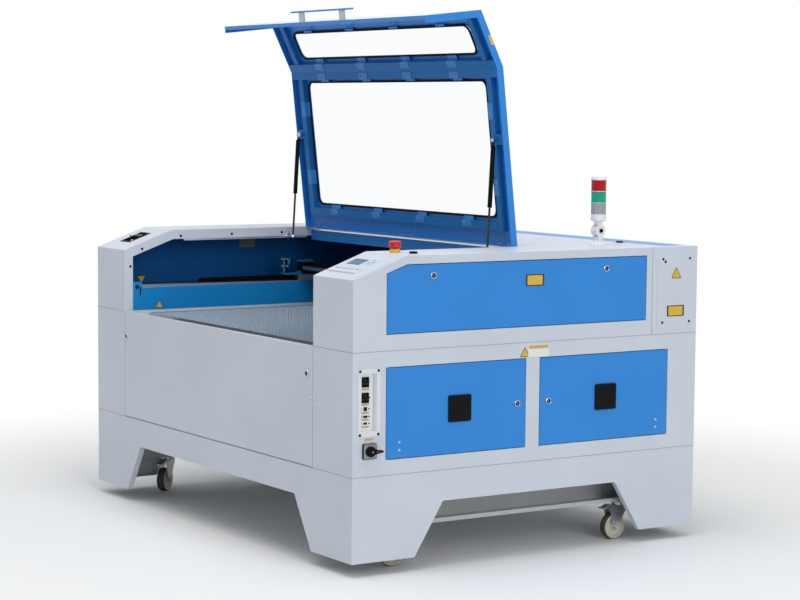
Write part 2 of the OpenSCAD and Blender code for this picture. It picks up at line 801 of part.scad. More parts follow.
mount_w = 36;
mount_h = 42;
mount_z = 20;

module gantry() {
    xl = bay_l - rail_w;
    xr = bay_r;
    z = rail_z1 + 4 + block_h;
    color(silver) {
        guide_block(xl);
        guide_block(xr);
    }
    color(rail_blue) {
        // End plates on the carriage blocks
        block([xl - 4, gantry_y - 45, z], [xl + rail_w + 12, gantry_y + 45, z + 6]);
        block([xr - 12, gantry_y - 45, z], [xr + rail_w + 4, gantry_y + 45, z + 6]);
        // Foot of the mirror mount, and the mount's fixed plate on its leg, square to the turned beam
        block([xl - 4, gantry_y - 95, z], [xl + 36, gantry_y - 45, z + 6]);
        translate([xl + 8, gantry_y - 79, z + 6]) rotate([0, 0, 45]) {
            block([-4, -mount_w / 2, 0], [4, 0, mount_z]);
            block([-4, -mount_w / 2, mount_z], [4, mount_w / 2, mount_z + mount_h]);
            // Tilting plate behind it, with the round mirror cell
            block([14, -15, mount_z + 3], [18, 15, mount_z + mount_h - 3]);
            bar_x(18, 24, 0, mount_z + mount_h / 2, 14);
        }
        // Caps that hold down the cross beam's ends, and the lugs at its foot
        for (x = [xl + 12, xr + rail_w - 42]) {
            block([x, gantry_y - cross_w / 2 - 5, z + 6 + cross_h],
                [x + 30, gantry_y + cross_w / 2 + 5, z + 13 + cross_h]);
            for (side = [0, 1]) translate([0, gantry_y, 0]) mirror([0, side, 0])
                block([x, cross_w / 2, z + 6], [x + 30, cross_w / 2 + 7, z + 14]);
        }
    }
    // Adjusting screws that carry the tilting plate
    color(brass) translate([xl + 8, gantry_y - 79, z + 6]) rotate([0, 0, 45])
        for (at = [[-11, mount_z + mount_h - 7], [11, mount_z + 7], [-11, mount_z + 7]])
            bar_x(-14, 16, at[0], at[1], 2.5);
    // Cross beam, a hollow extrusion with the head's rail on its front
    color(black) difference() {
        block([xl + 10, gantry_y - cross_w / 2, z + 6],
            [xr + rail_w - 10, gantry_y + cross_w / 2, z + 6 + cross_h]);
        block([xl + 9, gantry_y - cross_w / 2 + 4, z + 10],
            [xr + rail_w - 9, gantry_y + cross_w / 2 - 4, z + 2 + cross_h]);
    }
    color(silver) block([bay_l + 30, gantry_y - cross_w / 2 - head_rail_t,
        z + 6 + cross_h / 2 - head_rail_h / 2],
        [bay_r - 30, gantry_y - cross_w / 2, z + 6 + cross_h / 2 + head_rail_h / 2]);
    // Drive motor at the right end
    color(black) block([xr - 20, gantry_y + 32, z + 6], [xr + 36, gantry_y + 88, z + 62]);
}

module laser_head() {
    z = rail_z1 + 4 + block_h + 6 + cross_h / 2;
    y = gantry_y - cross_w / 2;
    nozzle_y = y - 52;
    color(rail_blue) {
        // Carriage block round the head's rail, and the upright plate on it
        difference() {
            block([head_x - 32, y - head_rail_t - 12, z - 20], [head_x + 32, y - 2, z + 20]);
            block([head_x - 33, y - head_rail_t - run_gap, z - head_rail_h / 2 - run_gap],
                [head_x + 33, y + 1, z + head_rail_h / 2 + run_gap]);
        }
        block([head_x - 38, y - head_rail_t - 18, z - 62], [head_x + 38, y - head_rail_t - 12, z + 42]);
        block([head_x - 24, y - 78, z + 8], [head_x + 24, y - head_rail_t - 18, z + 36]);
    }
    color(silver) {
        bar_z(z - 66, z + 8, head_x, nozzle_y, 16);
        bar_z(z - 86, z - 66, head_x, nozzle_y, 11);
        translate([head_x, nozzle_y, z - 104]) cylinder(h = 18, r1 = 3, r2 = 8);
        block([head_x - 20, y - head_rail_t - 26, z - 44], [head_x + 20, y - head_rail_t - 18, z - 12]);
        translate([head_x, nozzle_y + 8, z - 36]) block([-12, -8, -8], [12, 22, 8]);
    }
}

// ---------------------------------------------------------------- table

module table_frame() color(silver) difference() {
    x0 = bay_l + table_gap;
    x1 = bay_r - table_gap;
    y1 = table_y0 + table_l;
    w = 50;
    z1 = comb_z0;
    z0 = z1 - table_frame_h;
    union() {
        // Ring of angle bars with two cross members
        difference() {
            block([x0, table_y0, z0], [x1, y1, z1]);
            block([x0 + w, table_y0 + w, z0 - 1], [x1 - w, y1 - w, z1 + 1]);
            block([x0 + 4, table_y0 + 4, z0 - 1], [x1 - 4, y1 - 4, z1 - 4]);
        }
        for (x = [x0 + table_w_third(x0, x1), x1 - table_w_third(x0, x1)])
            block([x - 15, table_y0 + 4, z0 + 6], [x + 15, y1 - 4, z1]);
        // Nuts on the lead screws
        for (x = screw_x, y = screw_y) {
            bar_z(z0, z1 - 2, x, y, nut_r);
            edge = x < bay_c ? [x0, x] : [x, x1];
            block([edge[0], y - 18, z1 - 8], [edge[1], y + 18, z1]);
        }
    }
    for (x = screw_x, y = screw_y) bar_z(z0 - 1, z1 + 1, x, y, screw_r + pin_gap);
}
function table_w_third(x0, x1) = (x1 - x0) / 3;

// Honeycomb panel: its cell sheet in a border of angle bars
module honeycomb() color("#9aa3ad") difference() {
    x = [bay_l + table_gap, bay_r - table_gap];
    y = [table_y0 + comb_in, table_y0 + table_l - comb_in];
    block([x[0], y[0], comb_z0], [x[1], y[1], comb_z1]);
    block([x[0] + comb_edge, y[0] + comb_edge, comb_z0 - 1],
        [x[1] - comb_edge, y[1] - comb_edge, comb_z1 - comb_skin]);
}
comb_edge = 3;
comb_skin = 3;

// ---------------------------------------------------------------- lid

// A band of the lid's section between depths a and b, ending short of the rear by e and of the foot by f
module lid_band(a, b, e, f) polygon([
    [lid_back - e, z_top - a], lid_knee(a), lid_corner(a), [-hd + a, z_seam + gap + f],
    [-hd + b, z_seam + gap + f], lid_corner(b), lid_knee(b), [lid_back - e, z_top - b]]);
function lid_knee(d) = [y_knee + d * tan(slope_a / 2), z_top - d];
function lid_corner(d) = [-hd + d, z_slope + d * tan(slope_a) - d / cos(slope_a)];

// Cuts both windows, each m larger all round, from depth a to b
module lid_windows(m, a, b) {
    translate([bay_c, (window_back_y + window_front_y) / 2, 0])
        along_z(z_top - b, z_top - a) rounded(window_w + 2 * m, window_l + 2 * m, window_r + m);
    on_slope(bay_c, small_window_front + small_window_l / 2)
        along_z(-b, -a) rounded(small_window_w + 2 * m, small_window_l + 2 * m, window_r + m);
}

module lid_skin() color(blue) lid_open() {
    difference() {
        union() {
            difference() {
                along_x(lid_l, lid_r) lid_band(0, lid_flange, 0, 0);
                along_x(lid_l + sheet, lid_r - sheet) lid_band(sheet, lid_flange + 1, sheet, sheet);
                block([lid_l + sheet, -hd + lid_foot, z_seam],
                    [lid_r - sheet, -hd + lid_flange + 1, z_seam + gap + sheet + 1]);
            }
            for (x = hinge_places)
                bar_x(bay_c + x - knuckle / 2, bay_c + x + knuckle / 2, hinge_y, z_top, hinge_r);
        }
        for (x = hinge_places) {
            for (side = [-1, 1])
                bar_x(bay_c + x + side * knuckle - knuckle / 2 - run_gap,
                    bay_c + x + side * knuckle + knuckle / 2 + run_gap, hinge_y, z_top, hinge_r + 1);
            bar_x(bay_c + x - 2 * knuckle, bay_c + x + 2 * knuckle, hinge_y, z_top, hinge_pin_r + pin_gap);
        }
        lid_windows(0, -1, sheet + 1);
        // Notches over the struts' lower studs
        block([lid_l - 1, strut_low[0] - 9, z_top - lid_flange - 1],
            [lid_r + 1, strut_low[0] + 9, strut_low[1] + 8]);
    }
}

// Stiffening channels welded round the windows, the box over the knee and the strut brackets
module lid_frame() color(deep_blue) lid_open() {
    x0 = window_w / 2 + stiff_out;
    bar_y0 = window_back_y + rear_bar_in;
    bar_y1 = bar_y0 + rear_bar_w;
    d0 = sheet + seat;
    d1 = sheet + stiff_h;
    difference() {
        union() {
            // Side channels beside the large window and beside the small one
            for (side = [0, 1]) translate([bay_c, 0, 0]) mirror([side, 0, 0]) {
                block([x0, y_knee + bar_top - sheet / 2, z_top - d1], [x0 + stiff_w, bar_y1, z_top - d0]);
                on_slope(0, 0) block([x0, 10, -d1], [x0 + stiff_w, slope_l - bar_slope + sheet / 2, -d0]);
            }
            // Channel behind the large window
            block([bay_c - x0 + 0.01, bar_y0, z_top - d1], [bay_c + x0 - 0.01, bar_y1, z_top - d0]);
            // Box over the knee
            along_x(lid_l + sheet, lid_r - sheet) polygon([
                [y_knee + bar_top, z_top - d0], lid_knee(d0), slope_point(bar_slope, d0),
                slope_point(bar_slope, lid_flange), lid_knee(lid_flange), [y_knee + bar_top,
                    z_top - lid_flange]]);
        }
        // Hollows of the channels, open towards the skin
        for (side = [0, 1]) translate([bay_c, 0, 0]) mirror([side, 0, 0]) {
            block([x0 + sheet, y_knee + bar_top + sheet, z_top - d1 + sheet],
                [x0 + stiff_w - sheet, bar_y1 - sheet, z_top]);
            on_slope(0, 0) block([x0 + sheet, 10 + sheet, -d1 + sheet],
                [x0 + stiff_w - sheet, slope_l - bar_slope - sheet, 0]);
        }
        block([bay_c - x0, bar_y0 + sheet, z_top - d1 + sheet], [bay_c + x0, bar_y1 - sheet, z_top]);
        along_x(lid_l + 2 * sheet, lid_r - 2 * sheet) polygon([
            [y_knee + bar_top - sheet, z_top], [y_knee, z_top], slope_point(bar_slope - sheet, 0),
            slope_point(bar_slope - sheet, lid_flange - sheet), lid_knee(lid_flange - sheet),
            [y_knee + bar_top - sheet, z_top - lid_flange + sheet]]);
    }
    // Strut brackets from the side channels, with their ball studs
    for (side = [0, 1]) translate([bay_c, 0, 0]) mirror([side, 0, 0]) {
        block([x0 + stiff_w, strut_up[0] - 18, z_top - d1],
            [lid_w / 2 - sheet, strut_up[0] + 18, z_top - d1 + 3]);
        block([x0 + stiff_w, strut_up[0] - 10, z_top - d1 - 24],
            [x0 + stiff_w + 3, strut_up[0] + 10, z_top - d1]);
        bar_x(x0 + stiff_w, strut_x - eye_w / 2 - run_gap, strut_up[0], strut_up[1], stud_r);
    }
}
// A point on the slope, s down from the knee and d deep
function slope_point(s, d) = [
    y_knee - s * cos(slope_a) + d * sin(slope_a), z_top - s * sin(slope_a) - d * cos(slope_a)];

module lid_panes() color("#dfe6ec", 0.35) lid_open()
    lid_windows(gasket_w, sheet + seat, sheet + seat + pane_t);

// Flat rubber rings, one round each pane
module lid_gaskets() color(black) lid_open() {
    translate([bay_c, (window_back_y + window_front_y) / 2, 0]) along_z(z_top - tip_depth,
        z_top - tip_depth + gasket_t)
        gasket_ring(window_w, window_l);
    on_slope(bay_c, small_window_front + small_window_l / 2) along_z(-tip_depth, -tip_depth + gasket_t)
        gasket_ring(small_window_w, small_window_l);
}
module gasket_ring(w, l) difference() {
    rounded(w + 2 * gasket_w, l + 2 * gasket_w, window_r + gasket_w);
    rounded(w - 2 * gasket_in, l - 2 * gasket_in, window_r - gasket_in);
}
gasket_in = 3;

// A retaining clip: its foot on a face at depth d, its tip on the gasket; y runs towards the window
module clip(d, reach) {
    web = [min(d + seat, tip_depth), max(d + seat, tip_depth) + clip_t];
    block([-clip_w / 2, -22, -d - seat - clip_t], [clip_w / 2, seat + clip_t, -d - seat]);
    block([-clip_w / 2, seat, -web[1]], [clip_w / 2, seat + clip_t, -web[0]]);
    block([-clip_w / 2, seat, -tip_depth - clip_t], [clip_w / 2, reach, -tip_depth]);
}

module lid_clips() color(blue) lid_open() {
    ch = sheet + stiff_h;
    along = [-0.39, -0.14, 0.11, 0.36];
    for (f = along) translate([bay_c + f * window_w, 0, 0]) {
        // From the rear channel and from the knee box to the large window
        translate([0, window_back_y + rear_bar_in, z_top]) rotate([0, 0, 180])
            clip(ch, rear_bar_in - 2);
        translate([0, y_knee + bar_top, z_top]) clip(lid_flange, window_front - bar_top - 2);
    }
    for (f = along) {
        on_slope(bay_c + f * window_w, slope_l - bar_slope) rotate([0, 0, 180])
            clip(lid_flange, small_window_back - bar_slope - 2);
        on_slope(bay_c + f * window_w, small_window_front - gasket_w - 4) clip(sheet, gasket_w + 2);
    }
    // Two on each side of the large window
    for (side = [0, 1], f = [0.22, 0.78]) translate([bay_c, 0, 0]) mirror([side, 0, 0])
        translate([window_w / 2 + stiff_out, window_front_y + f * window_l, z_top]) rotate([0, 0, 90])
            clip(ch, stiff_out - 2);
}
tip_depth = sheet + 2 * seat + pane_t + gasket_t;

module lid_handle() color(blue) lid_open() {
    z = z_seam + gap + handle_rise;
    y1 = -hd - handle_out;
    block([bay_c - handle_l / 2, y1, z - handle_w / 2],
        [bay_c + handle_l / 2, y1 + handle_t, z + handle_w / 2]);
    for (side = [-1, 1]) translate([bay_c + side * handle_post_x, 0, 0])
        block([-handle_w / 2, y1 + handle_t, z - handle_t], [handle_w / 2, -hd, z + handle_t]);
}

// ---------------------------------------------------------------- gas struts

// Places children at a strut's upper pivot, with -Z towards its foot
module along_struts() for (side = [-1, 1])
    translate([bay_c + side * strut_x, strut_up_open[0], strut_up_open[1]])
        rotate([strut_tilt, 0, 0]) children();

module strut_cylinders() color(black) along_struts() difference() {
    union() {
        rotate([0, 90, 0]) cylinder(h = eye_w, r = eye_r, center = true);
        bar_z(-22, 0, 0, 0, strut_rod_d / 2);
        bar_z(-strut_cyl_l - 20, -20, 0, 0, strut_d / 2);
    }
    bar_z(-strut_cyl_l - 21, -30, 0, 0, strut_rod_d / 2 + pin_gap);
}

module strut_rods() color("#2b2c2f") along_struts() {
    translate([0, 0, -strut_len]) rotate([0, 90, 0]) cylinder(h = eye_w, r = eye_r, center = true);
    bar_z(-strut_len, -strut_cyl_l + 4, 0, 0, strut_rod_d / 2);
}

// ---------------------------------------------------------------- doors

// A shallow pan of sheet: its face outwards along +Z, its folded edges inwards
module pan(w, h, depth) difference() {
    translate([0, 0, -depth]) linear_extrude(depth) square([w, h]);
    translate([sheet, sheet, -depth - 1]) cube([w - 2 * sheet, h - 2 * sheet, depth + 1 - sheet]);
}

module front_door() color(white) {
    z0 = z_skirt + gap;
    z1 = z_seam - gap / 2;
    difference() {
        translate([bay_l + gap, -hd, z0]) rotate([90, 0, 0]) pan(bay_w - 2 * gap, z1 - z0, fold);
        for (x = [bay_l, bay_r]) bar_x(x - 30, x + 30, -hd + pin_in, z0 + pin_in, pin_r + pin_gap);
        for (x = front_lock_x) bar_y(-hd - 1, -hd + sheet + 1, x, front_lock_z, lock_r + pin_gap);
    }
}
front_lock_in = [21, 36];
front_lock_x = [bay_l + front_lock_in[0], bay_r - front_lock_in[1]];
front_lock_z = z_seam - 93;

// A side door's leaf between y0 and y1, hinged at the edge with sign s
module side_door(y0, y1, s, lock_y) color(blue) difference() {
    z0 = door_z0 + gap;
    h = door_h - 2 * gap;
    translate([hw, y0 + gap, z0]) rotate([90, 0, 90]) pan(y1 - y0 - 2 * gap, h, fold);
    bar_z(z0 - 1, z0 + h + 1, hw - pin_in, s * (door_edge - gap - pin_in), pin_r + pin_gap);
    bar_x(hw - sheet - 1, hw + 1, lock_y, door_lock_z, lock_r + pin_gap);
}
side_lock_y = door_post / 2 + door_lock_in;
module side_door_front() side_door(-door_edge, -door_post / 2, -1, -side_lock_y);
module side_door_rear() side_door(door_post / 2, door_edge, 1, side_lock_y);

// A square vent of moulded plastic, with a field of slots
module vent(y) color(black) translate([hw, y, door_lock_z]) rotate([90, 0, 90]) difference() {
    translate([0, 0, 0]) linear_extrude(vent_t) rounded(vent_s, vent_s, 6);
    for (i = [-4 : 4]) translate([0, i * 8, vent_t - 2]) linear_extrude(3) square([vent_s - 18, 3],
        center = true);
}
module vent_front() vent(-door_post / 2 - (door_edge - door_post / 2) / 2 + 8);
module vent_rear() vent(door_post / 2 + (door_edge - door_post / 2) / 2 + 2);

module upper_side_panel() color(blue) difference() {
    along_x(hw - fold, hw) upper_panel_outline(gap);
    along_x(hw - fold - 1, hw - sheet) upper_panel_outline(gap + sheet);
    bar_y(-door_edge, upper_panel_back, hw - pin_in, panel_z0 + gap + pin_in, pin_r + pin_gap);
    for (y = upper_lock_y) bar_x(hw - sheet - 1, hw + 1, y, upper_lock_z, lock_r + pin_gap);
}
upper_lock_y = [-403, 302];
upper_lock_in = 39;
upper_lock_z = panel_z1 - upper_lock_in;

module rear_cover() color(blue) difference() {
    translate([-hw + cover_end + gap, cover_y0 + gap, z_top])
        pan(body_w - 2 * cover_end - 2 * gap, cover_y1 - cover_y0 - 2 * gap, fold);
    bar_x(-hw, hw, cover_y1 - gap - pin_in, z_top - pin_in, pin_r + pin_gap);
}

// A lock plug, drawn along +Z out of its door: flange, key slot, barrel and a cam reaching out by reach
module lock_plug(reach) color(silver) difference() {
    union() {
        bar_z(run_gap, lock_out, 0, 0, lock_flange_r);
        bar_z(-lock_l, lock_out, 0, 0, lock_r);
        translate([0, 0, -lock_l]) block([-cam_w / 2, -cam_w / 2, 0], [cam_w / 2, reach, cam_t]);
    }
    translate([0, 0, lock_out - 1.2]) block([-slot_w / 2, -5, 0], [slot_w / 2, 5, 2]);
}
module side_lock(s) translate([hw, s * side_lock_y, door_lock_z]) rotate([90, 0, 90])
    lock_plug(door_lock_in + gap + 5);
module upper_lock(i) translate([hw, upper_lock_y[i], upper_lock_z]) rotate([90, 0, 90])
    rotate([0, 0, 90]) lock_plug(upper_lock_in + gap + 5);
module front_lock(i) translate([front_lock_x[i], -hd, front_lock_z]) rotate([90, 0, 0])
    lock_plug(front_lock_in[i] - 6);

// ---------------------------------------------------------------- controls

module control_panel() on_slope(keypad_x0, keypad_s) {
    t = 4;
    screen = [82, 44];
    screen_at = [24, 56];
    key_r = 4.5;
    color(white) difference() {
        block([0, 0, 0], [keypad_w, keypad_l, t]);
        translate([screen_at[0], screen_at[1], t - 1.5]) cube([screen[0], screen[1], 2]);
    }
    color(blue) for (i = [0 : 7]) bar_z(t, t + 1, 22 + i * 14, 26, key_r);
    color(blue) for (i = [0 : 2], j = [0 : 2]) bar_z(t, t + 1, 122 + i * 14, 62 + j * 14, key_r);
    color(silver) block([24, 44, -20], [keypad_w - 24, keypad_l - 24, 0]);
}

// Recessed connector panel, with the main switch's plate under it
module socket_panel() {
    t = 2;
    depth = 40;
    y = [socket_y0 + 12, socket_y0 + 42, socket_y1 - 14];
    z = [socket_z0 + 17, socket_z1 - 14];
    floor_x = hw - depth;
    // Section of the pocket: deep floor, then a slanting wall back out to the flange
    outer = [[hw, y[0]], [floor_x, y[0]], [floor_x, y[1]], [hw, y[2]]];
    color("white") {
        difference() {
            union() {
                block([hw, socket_y0, socket_z0], [hw + t, socket_y1, socket_z1]);
                along_z(z[0] - t, z[1] + t) polygon([[hw + 0.01, y[0] - t / 2], [floor_x - t, y[0] - t / 2],
                    [floor_x - t, y[1] + t / 2], [hw + 0.01, y[2] + t / 2]]);
            }
            along_z(z[0], z[1]) polygon([[hw + t + 1, y[0]], [floor_x, y[0]], [floor_x, y[1]],
                [hw, y[2]], [hw + t + 1, y[2]]]);
        }
    }
    // Two power inlets and three smaller ports
    color(black) {
        for (k = [0, 1]) difference() {
            block([floor_x, y[0] + 2, z[1] - 46 - k * 49], [floor_x + 12, y[0] + 28, z[1] - 12 - k * 49]);
            block([floor_x + 4, y[0] + 5, z[1] - 43 - k * 49],
                [floor_x + 13, y[0] + 25, z[1] - 15 - k * 49]);
        }
        for (k = [0 : 2])
            block([floor_x, y[0] + 7, z[0] + 22 + k * 23], [floor_x + 7, y[0] + 21, z[0] + 31 + k * 23]);
    }
    color(dark_grey) difference() {
        translate([hw, switch_y, switch_z]) rotate([90, 0,
            90]) linear_extrude(switch_t) rounded(switch_s, switch_s, 5);
        bar_x(hw - 1, hw + switch_t + 1, switch_y, switch_z, lock_r + pin_gap);
    }
}
switch_t = 8;

module switch_handle() color(black) {
    out = hw + switch_t;
    bar_x(hw - 12, out + run_gap, switch_y, switch_z, lock_r);
    bar_x(out + run_gap, out + 9, switch_y, switch_z, 17);
    // Pointer grip, thin and longer than the knob towards the rear
    translate([out + 9, switch_y, switch_z]) rotate([90, 0, 90]) linear_extrude(9)
        polygon([[-15, -5], [-8, -8], [8, -8], [38, -3.5], [42, 0], [38, 3.5], [8, 8], [-8, 8], [-15, 5]]);
}

// Recess in the left slope with two gauges and the toggle's bush
module meter_panel() on_slope(meter_x0, meter_s) {
    t = 1.5;
    depth = 14;
    color(black) {
        difference() {
            block([-5, -5, -depth], [meter_w + 5, meter_l + 5, t]);
            block([gap, gap, -depth + t], [meter_w - gap, meter_l - gap, t + 1]);
            block([-6, -6, -depth - 1], [0.2, meter_l + 6, 0]);
            block([meter_w - 0.2, -6, -depth - 1], [meter_w + 6, meter_l + 6, 0]);
            block([-6, -6, -depth - 1], [meter_w + 6, 0.2, 0]);
            block([-6, meter_l - 0.2, -depth - 1], [meter_w + 6, meter_l + 6, 0]);
        }
        difference() {
            bar_z(-depth + t, toggle_z + 2.5, toggle_at[0], toggle_at[1], 8);
            bar_z(-depth + t, toggle_z + 3.5, toggle_at[0], toggle_at[1], toggle_r + pin_gap);
        }
    }
    color(silver) for (at = [[22, 58], [50, 58]]) {
        bar_z(-depth + t, -depth + 8, at[0], at[1], 10);
    }
}
toggle_at = [34, 26];
toggle_z = -7.5;
toggle_r = 4.9;

module toggle_lever() color(silver) on_slope(meter_x0 + toggle_at[0], meter_s + toggle_at[1])
    translate([0, 0, toggle_z]) {
        sphere(toggle_r);
        cylinder(h = 26, r1 = 2.2, r2 = 3.4);
        translate([0, 0, 26]) sphere(3.4);
    }

module button_collars() {
    // Yellow collar of the emergency stop, and the start button's bezel
    color("#e8b92e") difference() {
        bar_z(z_top, z_top + 12, estop_x, estop_y, 17.5);
        bar_z(z_top - 1, z_top + 13, estop_x, estop_y, lock_r + pin_gap);
    }
    color(silver) difference() {
        bar_z(z_top, z_top + 3, start_x, start_y, start_d / 2 + 4);
        bar_z(z_top - 1, z_top + 4, start_x, start_y, start_d / 2 + run_gap);
    }
}

module estop_button() color("#d8281f") {
    z = z_top + 12 + estop_travel + run_gap;
    bar_z(z_top - 14, z + 1, estop_x, estop_y, lock_r);
    translate([estop_x, estop_y, z]) rotate_extrude() polygon([[0, 0], [estop_d / 2 - 1, 0],
        [estop_d / 2, 2],
        [estop_d / 2 - 1.5, estop_h * 0.55], [estop_d / 2, estop_h * 0.62], [estop_d / 2, estop_h - 4],
        [estop_d / 2 - 3, estop_h - 1], [estop_d / 2 - 8, estop_h], [0, estop_h]]);
}

module start_button() color(black) {
    bar_z(z_top - 12, z_top + start_travel + run_gap, start_x, start_y, lock_r - pin_gap);
    bar_z(z_top + start_travel + run_gap, z_top + start_travel + 7, start_x, start_y, start_d / 2);
}

module tower_base() color("white") {
    translate([tower_x, tower_y, z_top]) rotate_extrude()
        polygon([[0, 0], [29, 0], [29, 4], [26, 6], [16, 9], [12, 14], [12, 30], [0, 30]]);
    // Fork of the tilting knuckle
    for (side = [0, 1]) translate([tower_x, 0, 0]) mirror([side, 0, 0]) {
        bar_x(knuckle_in + run_gap, knuckle_out, tower_y, knuckle_z, knuckle_r + 1);
        block([knuckle_in + run_gap, tower_y - 10, z_top + 8], [knuckle_out, tower_y + 10, knuckle_z]);
    }
    bar_x(tower_x - knuckle_out - 2, tower_x + knuckle_out + 2, tower_y, knuckle_z, 5);
}
knuckle_r = 20;
knuckle_in = 7;
knuckle_out = 15;

module signal_tower() {
    stem = knuckle_z + 34;
    lamp = stem + 22;
    color("white") {
        difference() {
            union() {
                bar_x(tower_x - knuckle_in, tower_x + knuckle_in, tower_y, knuckle_z, knuckle_r - 1);
                bar_z(knuckle_z + 26, stem, tower_x, tower_y, 15);
                translate([tower_x, tower_y, 0])
                    block([-knuckle_in, -12, knuckle_z + 8], [knuckle_in, 12, knuckle_z + 27]);
            }
            bar_x(tower_x - 20, tower_x + 20, tower_y, knuckle_z, 5 + pin_gap);
        }
        bar_z(stem, lamp, tower_x, tower_y, tower_d / 2);
        bar_z(lamp + 3 * lamp_h, lamp + 3 * lamp_h + 13, tower_x, tower_y, tower_d / 2);
    }
    for (k = [0 : 2]) color(["#c9ced3", "#22a07f", "#b81422"][k])
        bar_z(lamp + k * lamp_h, lamp + (k + 1) * lamp_h, tower_x, tower_y, tower_d / 2 - 1);
}

// ---------------------------------------------------------------- inside the compartments

// Glass tube: water jacket with two nipples, end discs and the inner bore tube with its end fittings
module laser_tube() color("#cfd8dc", 0.6) {
    half = tube_l / 2;
    jacket = half - 40;
    wall = 3;
    disc = 6;
    nipple = [jacket - 60, tube_d / 2 + 14];
    difference() {
        union() {
            bar_x(-jacket, jacket, tube_y, tube_z, tube_d / 2);
            for (side = [-1, 1]) bar_z(tube_z, tube_z + nipple[1], side * nipple[0], tube_y, 5);
        }
        bar_x(-jacket + disc, jacket - disc, tube_y, tube_z, tube_d / 2 - wall);
        bar_x(-jacket - 1, jacket + 1, tube_y, tube_z, tube_d / 5);
        for (side = [-1, 1]) bar_z(tube_z, tube_z + nipple[1] + 1, side * nipple[0], tube_y, 3);
    }
    difference() {
        bar_x(-half, half, tube_y, tube_z, tube_d / 5 + 2);
        bar_x(-half - 1, half + 1, tube_y, tube_z, tube_d / 5);
    }
}

module tube_mounts() color(black) for (x = [-0.36, 0.36] * tube_l) difference() {
    union() {
        bar_x(x - 15, x + 15, tube_y, tube_z, tube_d / 2 + 12);
        block([x - 15, tube_y - 40, z_seam + sheet], [x + 15, tube_y + 40, tube_z]);
    }
    bar_x(x - 16, x + 16, tube_y, tube_z, tube_d / 2 + run_gap);
    block([x - 16, tube_y - 26, z_seam + 20], [x + 16, tube_y + 26, tube_z - tube_d / 2 - 20]);
}

module electronics() {
    x = bay_r + sheet;
    z = z_skirt + sheet;
    color(silver) block([x, -door_edge + 40, z], [x + 3, door_edge - 40, z_seam - 60]);
    color(dark_grey) {
        // High-voltage supply, two motor drivers, controller and a low-voltage supply
        block([x + 3, -door_edge + 60, z], [x + 110, -door_edge + 300, z + 160]);
        for (k = [0, 1]) block([x + 3, -door_edge + 350 + k * 70, z + 120],
            [x + 60, -door_edge + 400 + k * 70, z + 240]);
        block([x + 3, 80, z + 100], [x + 55, 260, z + 230]);
        block([x + 3, 320, z + 60], [x + 60, 480, z + 170]);
    }
}

skirt();
base_frame();
lower_left_box();
lower_right_box();
bay_tub();
console_left();
console_right();
rear_box();
roof_plate();
fixed_panels();
bay_liner();
y_rails();
cable_chain();
control_panel();
socket_panel();
meter_panel();
laser_tube();
tube_mounts();
electronics();
button_collars();
tower_base();
duct_collars();
lid_skin();
lid_frame();
lid_panes();
lid_gaskets();
lid_clips();
lid_handle();
strut_cylinders();
strut_rods();
front_door();
side_door_front();
side_door_rear();
vent_front();
vent_rear();
upper_side_panel();
rear_cover();
gantry();
laser_head();
table_frame();
honeycomb();
estop_button();
start_button();
switch_handle();
toggle_lever();
signal_tower();
caster_fork(0);  // caster_fork_fl
caster_fork(1);  // caster_fork_fr
caster_fork(2);  // caster_fork_rl
caster_fork(3);  // caster_fork_rr
caster_wheel(0);  // caster_wheel_fl
caster_wheel(1);  // caster_wheel_fr
caster_wheel(2);  // caster_wheel_rl
caster_wheel(3);  // caster_wheel_rr
front_lock(0);  // lock_front_left
front_lock(1);  // lock_front_right
side_lock(-1);  // lock_side_front
side_lock(1);  // lock_side_rear
upper_lock(0);  // lock_upper_front
upper_lock(1);  // lock_upper_rear
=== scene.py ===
import json
import math
import bmesh
import bpy
import numpy as np
from mathutils import Matrix, Vector

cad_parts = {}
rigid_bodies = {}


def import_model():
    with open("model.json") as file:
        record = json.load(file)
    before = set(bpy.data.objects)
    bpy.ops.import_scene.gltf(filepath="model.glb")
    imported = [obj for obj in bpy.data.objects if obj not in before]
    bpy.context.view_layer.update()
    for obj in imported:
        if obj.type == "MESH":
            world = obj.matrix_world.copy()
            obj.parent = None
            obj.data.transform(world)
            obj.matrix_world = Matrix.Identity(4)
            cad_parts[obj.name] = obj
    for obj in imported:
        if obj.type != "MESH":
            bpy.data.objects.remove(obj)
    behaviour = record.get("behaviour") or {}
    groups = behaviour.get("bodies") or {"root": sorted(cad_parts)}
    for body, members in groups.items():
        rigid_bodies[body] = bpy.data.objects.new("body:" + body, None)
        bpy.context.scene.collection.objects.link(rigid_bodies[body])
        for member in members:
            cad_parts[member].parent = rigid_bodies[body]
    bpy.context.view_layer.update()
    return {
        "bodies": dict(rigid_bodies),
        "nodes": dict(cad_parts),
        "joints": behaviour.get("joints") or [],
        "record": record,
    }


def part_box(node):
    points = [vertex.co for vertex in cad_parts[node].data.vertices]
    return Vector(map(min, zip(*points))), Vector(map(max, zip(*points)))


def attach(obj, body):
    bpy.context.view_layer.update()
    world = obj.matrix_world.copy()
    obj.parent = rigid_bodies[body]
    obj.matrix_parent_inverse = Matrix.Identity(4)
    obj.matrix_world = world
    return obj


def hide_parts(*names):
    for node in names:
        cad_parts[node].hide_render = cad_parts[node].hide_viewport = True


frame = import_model()
parts = frame["nodes"]

